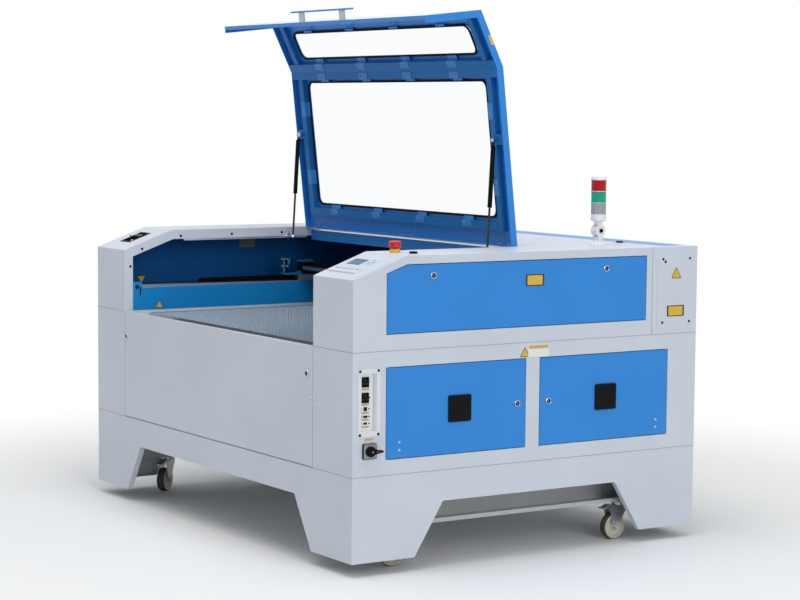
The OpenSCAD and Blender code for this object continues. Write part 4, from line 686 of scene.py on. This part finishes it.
foot = turned([(0.0052, 0), (0.0118, 0), (0.0118, 0.0008), (0.011, 0.0014), (0.0052, 0.0014),
    (0.0052, 0)], 32)


def on_both_edges(shape, spots, back):
    """Copies at (y, z) spots along the bay's left and right edges, facing into the bay, with their
    feet moved back from the edge."""
    return [on_right(shape, [(bay_left - back, y, z) for y, z in spots]),
        copies(shape, [(bay_right + back, y, z) for y, z in spots], facing(-X))]


piece("strut_feet", on_both_edges(foot, [lower_pivot], -0.0001), chrome)

# ------------ lid handle
# A folded blue bar on two brushed steel posts across the lid's front panel.

post_top = -0.7388
coats_by("lid_handle", [sky_coat, plain("brushed_steel_post", "b3b5b6", 0.35, 0.8)],
    lambda c, n: ((c - hinge_line) @ lid_turn + hinge_line)[:, 1] > post_top)

# ------------ bay fittings
# Moulded rubber bumpers on the consoles' inner lips, which the closed lid's flanges meet, and an
# aluminium light strip with a milky cover under the left one.

lip_back = 0.0022
bumper = turned([(0, 0.0045), (0.003, 0.0045), (0.0046, 0.0031), (0.0056, 0.0013), (0.006, 0),
    (0, 0)], 16)
bumper_at = [(-0.68, 0.891), (-0.631, 0.956), (-0.467, 1.001), (-0.246, 1.004), (-0.023, 1.005)]
piece("lip_bumpers", on_both_edges(bumper, bumper_at, lip_back),
    plain("black_bumper_rubber", "0f1012", 0.65, **low_gloss))
piece("light_strip", [bar((bay_left - 0.018, -0.45, 0.985), (bay_left - 0.004, 0.096, 0.99), 0.001),
    bar((bay_left - 0.015, -0.448, 0.983), (bay_left - 0.006, 0.094, 0.985), 0.001)],
    [plain("anodised_strip", "c9cdd2", 0.3, 0.9), plain("milky_cover", "f2f5f8", 0.35)])

# ------------ control panel
# A printed polyester face on the panel, a liquid crystal screen behind a clear window, and
# embossed keys. Left bare of words and symbols.

finish(["control_panel"], off_white)
slope_face = np.stack([X, slope_up, -slope_in], 1)
panel_x, panel_s = 0.714, 0.045
blue_key = plain("blue_key_print", "7f9fc2", 0.35)
key_prints = [plain("red_key_print", "c0706c", 0.35), *[blue_key] * 5,
    plain("orange_key_print", "d8b27a", 0.35), plain("green_key_print", "7fb295", 0.35)]


def key_at(x, y, h=0.004):
    """A place on the panel: x and y from its front left corner and h out from the slope."""
    return on_slope(panel_x + x, panel_s + y, h)


def frame_slab(outer, inner, low, high):
    """A flat ring between two outlines of as many points, from low to high."""
    rings = [(outer, low), (outer, high), (inner, high), (inner, low)]
    return skin(raised(rings), round_rows=True, round_columns=True)


screen, film_middle = (0.065, 0.078), (0.0825, 0.0575)
screen_hole = oblong(0.0815, 0.0435, 0.002) + [screen[0] - film_middle[0],
    screen[1] - film_middle[1]]
piece("panel_film", copies(frame_slab(oblong(0.161, 0.111, 0.004), screen_hole, 0, 0.0004),
    key_at(*film_middle), slope_face), plain("pale_polyester_film", "d2d9e1", 0.3))
bezel = slab(oblong(0.0805, 0.0425, 0.001), -0.0014, -0.0008)
glass = slab(oblong(0.07, 0.034, 0.001), -0.0008, -0.0004)
piece("panel_screen", [copies(shape, key_at(*screen), slope_face) for shape in (bezel, glass)],
    [plain("screen_bezel", "3c4854", 0.25), plain("screen_glass", "7d93a8", 0.12)])
cap_key = slab(oblong(0.0095, 0.0085, 0.002), 0.0003, 0.0014, 0.0005)
row = [copies(cap_key, key_at(0.024 + i * 0.0182, 0.023), slope_face) for i in range(8)]
piece("panel_key_row", row, key_prints)
pad = [copies(cap_key, key_at(0.126 + i * 0.014, 0.07 + j * 0.014), slope_face) for i in range(3)
    for j in range(3)]
pale_key = plain("pale_blue_key_print", "a9c3dc", 0.35)
piece("panel_arrow_keys", pad, [blue_key if (i + j) % 2 else pale_key for i in range(3)
    for j in range(3)])
corner = [(x, y) for x in (0.008, 0.157) for y in (0.008, 0.107)]
piece("panel_corner_screws", copies(button_head(0.0026, 0.0014),
    [key_at(x, y, 0.0044) for x, y in corner], slope_face), bright_steel)

# ------------ left meter recess
# Two knurled knobs on the shafts in the black recess, beside a chromed toggle: turned and ribbed
# black phenolic with a white pointer line on each.


def ribbed(r, low, high, ribs, depth, around=96):
    """A knob with a ribbed side, of radius r + depth * cos(ribs * a), and its rim drawn in."""
    a = 2 * np.pi * np.arange(around) / around
    edge = (r + depth * np.cos(ribs * a))[:, None] * circle(around)
    rows = [(0.0, low), (1.0, low), (1.0, high - 0.001), (0.88, high), (0.0, high)]
    return skin(raised([(k * edge, h) for k, h in rows]), round_columns=True)


finish(["meter_panel"], black_abs)
finish(["toggle_lever"], chrome)
phenolic = plain("black_phenolic", "1a1b1d", 0.35)
recess = [on_slope(x, 0.13, -0.006) for x in (-0.847, -0.819)]
piece("recess_knobs", [copies(ribbed(0.0098, 0, 0.01, 24, 0.0003), at, slope_face)
    for at in recess], phenolic)
piece("recess_pointers", [copies(bar((-0.0006, 0.001, 0.01), (0.0006, 0.0085, 0.0103), 0.0002), at,
    slope_face) for at in recess], plain("white_enamel_mark", "e9eaea", 0.4))

# ------------ sockets and main switch
# Inlets and data ports are moulded in black with tin-plated pins and nickelled shells; blank
# yellow strips sit under each. The switch has a grey face in a black surround.

finish(["switch_handle"], black_abs)
nickel = plain("nickelled_shell", "b9bcc0", 0.25, 1.0)
inlet_black = plain("black_inlet_nylon", "0e0f11", 0.4, **low_gloss)
plate_x = half_width - 0.0085
pocket_low, pocket_high = socket_low[2] + 0.017, socket_high[2] - 0.014


def on_plate(y, z):
    """A place on the face of the socket plate, which is 1.5 mm thick."""
    return plate_x + 0.0015, y, z


plate_h = pocket_high - pocket_low - 0.002
piece("socket_plate", on_right(slab(oblong(0.047, plate_h, 0.001), 0, 0.0015, 0.0003),
    (plate_x, -0.6488, (pocket_low + pocket_high) / 2)),
    plain("white_socket_plate", "dfe4ea", 0.45))
inlet_y, inlet_z, port_y = -0.6543, [0.6275, 0.5775], -0.6535
inlet = frame_slab(oblong(0.0265, 0.0325, 0.002), oblong(0.0225, 0.0275, 0.002), 0, 0.0035)
inside = slab(oblong(0.0225, 0.0275, 0.002), 0, 0.0004)
piece("power_inlets", [on_right(shape, [on_plate(inlet_y, z) for z in inlet_z])
    for shape in (inlet, inside)], inlet_black)
pins = [bar((plate_x + 0.0019, y - 0.001, z - 0.003), (plate_x + 0.0045, y + 0.001, z + 0.003),
    0.0004) for z0 in inlet_z for y, z in ((-0.6603, z0 - 0.005), (-0.6483, z0 - 0.005),
    (inlet_y, z0 + 0.006))]
piece("inlet_pins", pins, plain("dark_tinned_pin", "4c4e52", 0.4, 0.5))
ports = [(0.0155, 0.015, 0.5415), (0.0185, 0.0095, 0.5168), (0.015, 0.0095, 0.495)]
shells = [on_right(frame_slab(oblong(w, h, 0.001), oblong(w - 0.003, h - 0.003, 0.0008), 0, 0.0016),
    on_plate(port_y, z)) for w, h, z in ports]
cores = [on_right(slab(oblong(w - 0.003, h - 0.003, 0.0008), 0, 0.0009), on_plate(port_y, z))
    for w, h, z in ports]
piece("data_ports", shells + cores, [nickel] * 3 + [inlet_black] * 3)
screw_spots = [on_plate(y, z) for y in (-0.668, -0.6385)
    for *_, z in ports] + [on_plate(-0.6375, 0.5775)]
piece("port_screws", on_right(button_head(0.0028, 0.0018), screw_spots), black_steel)
switch_y, switch_z, switch_top = -0.643, 0.406, 0.436
strips = [on_plate(-0.653, z) for z in (0.605, 0.556, 0.529, 0.507, 0.484)]
piece("blank_strips", [on_right(slab(oblong(0.029, 0.0062, 0.0008), 0, 0.0004), strips),
    on_right(slab(oblong(0.031, 0.0066, 0.0008), 0, 0.0004), (half_width, switch_y, 0.4445))],
    gold_strip)
switch_at = (half_width + 0.008, switch_y, switch_z)


def socket_panel_coats(centre, normal):
    """Black on the switch's surround and on the pocket's floor behind the sockets, else white."""
    x, y, z = centre.T
    pocket = (abs(x - half_width + 0.03295) < 0.00695) & (y < switch_y) & (normal[:, 0] > -0.5)
    return (z < switch_top) | pocket


coats_by("socket_panel", [off_white, inlet_black], socket_panel_coats)
hole_r, barrel_r = 0.0115, 0.0086
round_hole = hole_r * circle(20, -0.7 * np.pi)
piece("switch_face", on_right(frame_slab(oblong(0.047, 0.047, 0.005), round_hole, 0, 0.00025),
    switch_at), plain("grey_switch_face", "8d9196", 0.4))
knob_face = (half_width + 0.026, switch_y, switch_z)
piece("switch_marks", [on_right(bar((0.014, -0.0008, 0), (0.027, 0.0008, 0.0004), 0.0003),
    knob_face), on_right(turned([(0, 0), (0.0032, 0), (0.0032, 0.0004), (0, 0.0006)], 16),
    knob_face)], [plain("red_enamel_mark", "c0322b", 0.35),
    plain("grey_knob_centre", "83868a", 0.4)], "switch_handle")

# ------------ locks
# Each cam lock has a turned chrome rim round a darker barrel with its key slot.

finish([n for n in parts if n.startswith("lock_")], chrome)
rim = turned([(barrel_r, 0.0001), (barrel_r, 0.0013), (0.0094, 0.0018), (0.0105, 0.0012),
    (0.011, 0.0001), (barrel_r, 0.0001)], 28)
barrel = frame_slab(barrel_r / hole_r * round_hole, oblong(0.002, 0.0098, 0.0008), 0.0001, 0.0008)
lock_out = 0.003
lock_at = {"side_front": (X, (half_width, -0.0645, 0.5215)),
    "side_rear": (X, (half_width, 0.0645, 0.5215)), "upper_front": (X, (half_width, -0.403, 0.959)),
    "upper_rear": (X, (half_width, 0.302, 0.959)), "front_left": (-Y, (-0.684, -half_depth, 0.63)),
    "front_right": (-Y, (0.658, -half_depth, 0.63))}
for name, (outward, at) in lock_at.items():
    face, at = facing(outward), np.array(at) + lock_out * outward
    piece("lock_face_" + name, [copies(rim, at, face), copies(barrel, at, face)],
        [chrome, plain("dark_lock_barrel", "3a3c3f", 0.25, 1.0)], "lock_" + name)

# ------------ honeycomb
# The cutting bed: corrugated aluminium foils bonded into cells 12.5 mm across, in a border of
# polished flat bar. The foil is drawn 0.5 mm thick instead of 0.1 mm so that it shows.

comb_low, comb_high = (np.array(c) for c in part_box("honeycomb"))


def foil(cell, rows, periods):
    """Ribbons along X. Each follows a half-hexagon zigzag of flats and 60 degree slants between
    -cell / 4 and cell / 4, every other one mirrored, so that neighbours meet at their flats."""
    side = cell / math.sqrt(3)
    step_x = np.tile([side, side / 2], 2 * periods)
    x = np.concatenate([[0], np.cumsum(step_x)])
    zigzag = np.concatenate([[-1], np.tile([-1, 1, 1, -1], periods)]) * cell / 4
    x, zigzag = x[:4 * periods + 1], zigzag[:4 * periods + 1]
    mirrored = 1 - 2 * (np.arange(rows) % 2)
    y = mirrored[:, None] * zigzag[None] + (np.arange(rows) * cell / 2)[:, None]
    return np.stack([np.broadcast_to(x, y.shape), y], -1)


cell = 0.0125
paths = foil(cell, 153, 63)
paths = paths - (paths.min((0, 1)) + paths.max((0, 1))) / 2 + (comb_low[:2] + comb_high[:2]) / 2
foil_half, flat_bar = 0.00025, 0.003
foil_low, foil_high = comb_low[2] + 0.001, comb_high[2] - 0.0002
edges = [(-foil_half, foil_low), (-foil_half, foil_high), (foil_half, foil_high),
    (foil_half, foil_low)]
foils = [skin(raised([(path + [0, dy], z) for dy, z in edges])) for path in paths]
(left, front), (right, rear) = comb_low[:2], comb_high[:2]
border = [((left, front), (right, front + flat_bar)), ((left, rear - flat_bar), (right, rear)),
    ((left, front + flat_bar), (left + flat_bar, rear - flat_bar)),
    ((right - flat_bar, front + flat_bar), (right, rear - flat_bar))]
polished = plain("polished_aluminium", "c2c6ca", 0.16, 1.0)
bed_border = piece("cutting_bed_border", [bar((*a, comb_low[2]), (*b, comb_high[2]), 0.0006)
    for a, b in border], polished, "table")
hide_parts("honeycomb")
# The rear half sits a hair off the front one, so that no two foils lie in one place.
hair = np.array([0, 0.00004, -0.00004])
for half, some, off in (("front", foils[:77], 0 * hair), ("rear", foils[77:], hair)):
    piece("cutting_bed_" + half, [(points + off, faces) for points, faces in some],
        plain("cell_aluminium_foil", "c4d2e0", 0.4, 0.4, 4.0), "table")

# ------------ rails, gantry and head
# Blue painted beams with ground steel guides. The cross beam is a black anodised extrusion on
# silver carriage blocks; the mirror mount is blue anodised plate with brass adjusting screws.

ground_steel = plain("ground_guide_steel", "d3d6d9", 0.3, 0.9)
black_beam = plain("black_anodised_beam", "101114", 0.38, **low_gloss)
brass = plain("turned_brass", "ab8437", 0.3, 1.0)
rail_top, idler_y = 0.808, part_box("y_rails")[0][1] + 0.016
beam_y, beam_z = 0.088, 0.864


def rail_coats(centre, normal):
    """Steel on the guides' feet, black on the idlers and on the guides' tops, where the black is
    painted shadow of the belts above them, and paint elsewhere.
    """
    z = centre[:, 2]
    guide = (z > rail_top + 0.0001) & (centre[:, 1] > idler_y + 0.025)
    beside = np.abs(centre[:, :1] - [-0.724, 0.713]).min(1)
    idler = near(centre, [idler_y, rail_top + 0.004], 0.0103) & (z > rail_top - 0.008)
    # Painted shadow: the guides' tops turn black under the belts.
    belt_shadow = guide & (z > rail_top + 0.0065)
    return np.where(belt_shadow | (idler & (beside < 0.0102)), 2, np.where(guide, 1, 0))


def gantry_coats(centre, normal):
    """Steel on the guide blocks and the head's guide, black on the beam and the motor, and brass
    and gold on the mirror mount, whose axis is turned by 45 degrees."""
    x, y, z = centre.T
    block_top, beam_low, beam_high, beam_left = 0.8359, 0.8421, 0.8862, -0.7332
    guide = (y > 0.0545) & (y < 0.0631) & (abs(z - beam_z) < 0.0062) & (abs(x - bay_middle) < 0.675)
    steel = (z < block_top) | guide
    beam = (abs(y - beam_y) < 0.0252) & (z > beam_low) & (z < beam_high) & (x > beam_left)
    motor = (x > 0.6738) & (y > 0.1201)
    mount = (x < -0.695) & (y < 0.05) & (z > 0.8425)
    mount_x, mount_y = -0.735, 0.009
    along = ((x - mount_x) + (y - mount_y)) / math.sqrt(2)
    screws = mount & ((along < -0.0041) | ((along > 0.0041) & (along < 0.0139)))
    mirror = mount & (along > 0.0239)
    return np.select([screws, mirror, steel, beam | motor], [3, 4, 1, 2], 0)


def head_coats(centre, normal):
    """Brass on the nozzle's tip, chrome on the lens tube, paint elsewhere."""
    x, y, z = centre.T
    tube_x, tube_y, tube_r, tip_top = 0.34, 0.011, 0.0163, 0.7785
    tube = np.hypot(x - tube_x, y - tube_y) < tube_r
    return np.where(z < tip_top, 2, np.where(tube, 1, 0))


coats_by("y_rails", [powder_coat("rail_blue_paint", "1486c8", 0.4, gloss=0.2), ground_steel,
    black_abs], rail_coats)
coats_by("gantry", [powder_coat("teal_gantry_paint", "1c719f", 0.45, gloss=0.2), ground_steel,
    black_beam, brass, plain("gold_coated_mirror", "e8b95a", 0.06, 1.0)], gantry_coats)
coats_by("laser_head", [plain("anodised_blue", "2f6fae", 0.35, 0.6), chrome, brass], head_coats)
bearing = turned([(0, 0.0016), (0.004, 0.0016), (0.0044, 0.0006), (0.0078, 0.0006), (0.0088, 0.0),
    (0, 0.0)], 28)
piece("idler_bearings", on_both_edges(bearing, [(idler_y, rail_top + 0.004)], 0),
    plain("dark_bearing_steel", "3a3f45", 0.35, 0.8))
belt_rubber = plain("black_belt_rubber", "121315", 0.6, **low_gloss)


def toothed(lo, hi, pitch, depth):
    """A flat belt along Y from lo to hi, whose teeth stand out of its underside by depth, at twice
    the real pitch so that they show."""
    count = int((hi[1] - lo[1]) / pitch)
    y = lo[1] + (np.arange(4 * count) + 0.5) // 1 * pitch / 4
    under = lo[2] + np.where((np.arange(4 * count) // 2) % 2, 0, depth)
    rows = [np.column_stack([np.full(len(y), x), y, z]) for x, z in ((lo[0], under), (hi[0], under),
        (hi[0], hi[2] + 0 * y), (lo[0], hi[2] + 0 * y))]
    return skin(np.stack(rows, 1), round_columns=True, ends=True)


belts = [toothed((x - 0.005, idler_y, rail_top + 0.0145), (x + 0.005, 0.495, rail_top + 0.0163),
    0.01, 0.0008) for x in (bay_left - 0.0325, bay_right + 0.0325)]
piece("drive_belts", belts, belt_rubber)
piece("beam_belt", bar((-0.69, 0.08, 0.8866), (0.67, 0.09, 0.8882), 0.0004), belt_rubber,
    "gantry")

# ------------ laser tube
# Blown borosilicate glass with turned aluminium ends that hold the mirrors, on black ABS mounts. A
# milky glass coil of 18 turns inside returns the gas: x runs along the tube while (y, z) turns
# round it.

tube_low, tube_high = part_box("laser_tube")
tube_x, tube_y, tube_z = ((lo + hi) / 2 for lo, hi in zip(tube_low, tube_high))
tube_half, metal_end, coil_end = (tube_high[0] - tube_low[0]) / 2, 0.055, 0.13
tube_glass = plain("borosilicate_glass", "eef3f4", 0.05, 0.0,
    **{"Transmission Weight": 1.0, "IOR": 1.47})
coats_by("laser_tube", [tube_glass, polished], lambda c, n: abs(c[:, 0] - tube_x) > tube_half
    - metal_end)
finish(["tube_mounts"], black_abs)
coil_r, wire_r, turns = 0.0245, 0.0024, 18
around, along = np.meshgrid(np.linspace(0, 2 * np.pi, 6, endpoint=False),
    np.linspace(0, 1, 18 * turns))
twist = 2 * np.pi * turns * along
ring_r = coil_r + wire_r * np.cos(around)
coil = np.stack([tube_x + (2 * along - 1) * (tube_half - coil_end) + wire_r * np.sin(around),
    tube_y + ring_r * np.cos(twist), tube_z + ring_r * np.sin(twist)], -1)
piece("gas_return_coil", skin(coil, round_columns=True, ends=True),
    plain("milky_glass_coil", "dfe9ee", 0.15))

# ------------ electronics
# Units on a zinc plated plate behind the side doors: finned motor drivers, a louvred high voltage
# supply, a controller with screw terminals and slotted wiring duct.

x0, y0, z0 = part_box("electronics")[0]
back_plate = 0.0031
coats_by("electronics", [plain("unit_housings", "4b4f55", 0.5), zinc],
    lambda c, n: c[:, 0] < x0 + back_plate)


def bars(x, y, z):
    """One block for each of the y spans and each of the z spans, from x[0] to x[1]."""
    return [bar((x0 + x[0], b[0], z0 + d[0]), (x0 + x[1], b[1], z0 + d[1]), 0.0004) for b in y
        for d in z]


def every(start, step, size, count):
    """Spans of one size at even steps."""
    return [(start + i * step, start + i * step + size) for i in range(count)]


fins = bars((0.0598, 0.068), every(y0 + 0.3125, 0.006, 0.0018, 8)
    + every(y0 + 0.3825, 0.006, 0.0018, 8), [(0.124, 0.236)])
piece("driver_fins", fins, black_beam)
piece("supply_louvres", bars((0.1098, 0.1125), [(y0 + 0.045, y0 + 0.235)],
    every(0.02, 0.009, 0.004, 14)), plain("grey_supply_paint", "5b6066", 0.45))
blocks = every(0.088, 0.02, 0.0165, 8)
ends = bars((0.0548, 0.065), blocks, [(0.106, 0.118), (0.212, 0.224)])
piece("terminal_blocks", ends, plain("green_terminal_block", "3f8f58", 0.4))
heads = [(x0 + 0.065, y + dy, z0 + z) for y in np.array(blocks)[:, 0] for dy in (0.0042, 0.0122)
    for z in (0.112, 0.218)]
piece("terminal_screws", on_right(turned([(0, 0.0008), (0.0016, 0.0008), (0.0019, 0), (0, 0)], 8),
    heads), nickel)
duct_fingers = bars((0.003, 0.04), [(0.276, 0.2775), (0.3025, 0.304)],
    every(0.012, 0.009, 0.006, 25))
duct_body = bars((0.003, 0.006), [(0.276, 0.304)], [(0.01, 0.238)]) + bars((0.04, 0.0415),
    [(0.275, 0.305)], [(0.01, 0.238)])
piece("wiring_duct", duct_fingers + duct_body, plain("grey_pvc_duct", "9da3a8", 0.5))
piece("supply_cage", bars((0.0598, 0.0612), every(0.328, 0.01, 0.006, 13),
    every(0.068, 0.01, 0.006, 9)), plain("perforated_cage_steel", "8f9499", 0.35, 0.8))

# ------------ energy chain
# Hinged nylon links that carry the gantry's cables: two side plates and two cross bars each. They
# lie on the tray, turn over in a bend and run back to the gantry.

chain_low, chain_high = (np.array(c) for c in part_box("cable_chain"))
chain_width, link_h, pitch = chain_high[0] - chain_low[0], 0.0165, 0.02
bend_r = (chain_high[2] - chain_low[2]) / 2 - 0.009
bend_y, bend_z = chain_low[1] + bend_r + 0.009, (chain_low[2] + chain_high[2]) / 2


def chain_path(s, lower):
    """The chain's centre line at length s: along the tray from its fixed end, round a half circle
    and back. Gives the point and the direction."""
    s = np.asarray(s, float)
    angle = np.clip((s - lower) / bend_r, 0, np.pi)
    y = bend_y + np.where(s < lower, lower - s, np.where(s > lower + np.pi * bend_r,
        s - lower - np.pi * bend_r, 0))
    y = y - bend_r * np.sin(angle)
    z = bend_z - bend_r * np.cos(angle)
    return np.stack([y, z], -1), np.pi - angle


lower_run = chain_high[1] - 0.01 - bend_y
upper_run = 0.068 - bend_y
count = int((lower_run + np.pi * bend_r + upper_run) / pitch)
centres, angles = chain_path(np.arange(count) * pitch + pitch / 2, lower_run)
cheek = slab(oblong(pitch + 0.006, link_h, link_h * 0.45), -0.0013, 0.0013, 0.0003)
cross = bar((-0.0045, -0.0009, -chain_width / 2 + 0.0015),
    (0.0045, 0.0009, chain_width / 2 - 0.0015), 0.0003)
links = []
for (y, z), a in zip(centres, angles):
    along = np.array([0, math.cos(a), math.sin(a)])
    link_frame = np.stack([along, np.cross(X, along), X], 1)
    middle = np.array([(chain_low[0] + chain_high[0]) / 2, y, z])
    links += [copies(cheek, middle + side * (chain_width / 2 - 0.0018) * X, link_frame)
        for side in (-1, 1)]
    links += [copies(cross, middle + side * (link_h / 2 - 0.0012) * link_frame[:, 1], link_frame)
        for side in (-1, 1)]
chain = piece("energy_chain", links, plain("black_nylon_links", "121315", 0.4, **low_gloss))
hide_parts("cable_chain")

# ------------ casters
# Cast nylon wheels in pressed and zinc plated forks, cream, with their treads painted dark
# grey-brown for wear and for the shade they lie in. Hexagon nuts hold the axles and hexagon bolts
# the plates.

finish([n for n in parts if n.startswith("caster_fork")], zinc)
finish([n for n in parts if n.startswith("caster_wheel")],
    plain("cast_cream_nylon", "c9c5b2", 0.45))
swivels = {"fl": (38, -0.835, -0.458), "fr": (-14, 0.835, -0.458), "rl": (20, -0.835, 0.458),
    "rr": (0, 0.835, 0.458)}
nut = slab(circle(6) * 0.0085, 0, 0.0055, 0.0008)
bolt = slab(circle(6) * 0.0072, 0, 0.005, 0.0008)
# Dark tread: part wear, part painted shade on the wheels' rims.
worn_and_shaded_tread = plain("worn_and_shaded_tread", "4a463c", 0.7, 0.0, 6.0, 0.3)
plate_under, tread_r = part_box("base_frame")[0][2], 0.0415
trail, axle_z, hub_half = -0.028, 0.045, 0.023
for name, (degrees, x, y) in swivels.items():
    turn_z = np.array(Matrix.Rotation(math.radians(degrees), 3, "Z"))
    axle, axis = turn_z @ [0, trail, 0] + [x, y, axle_z], turn_z @ X
    nuts = [copies(nut, axle + side * hub_half * axis, facing(side * axis)) for side in (-1, 1)]
    piece("axle_nuts_" + name, nuts, zinc, "caster_fork_" + name)
    wheel = parts["caster_wheel_" + name].data
    wheel.materials.append(worn_and_shaded_tread)
    off = faces_of(wheel)[0] - axle
    off -= np.outer(off @ axis, axis)
    wheel.polygons.foreach_set("material_index",
        (np.linalg.norm(off, axis=1) > tread_r).astype(np.int32))
bolt_at = [(x + dx, y + dy, plate_under) for degrees, x, y in swivels.values()
    for dx in (-0.028, 0.028) for dy in (-0.036, 0.036)]
piece("caster_plate_bolts", copies(bolt, bolt_at, facing(-Z, Y)), zinc)

# ------------ rear catch
# The rear cover's catch: a small black die-cast lever on a bright base plate.

piece("cover_catch", [bar((0.664, 0.551, roof), (0.712, 0.571, roof + 0.0016), 0.003),
    bar((0.672, 0.554, roof + 0.0016), (0.7, 0.568, roof + 0.0075), 0.004)],
    [bright_steel, plain("dark_die_casting", "2b3440", 0.35, 0.5)])
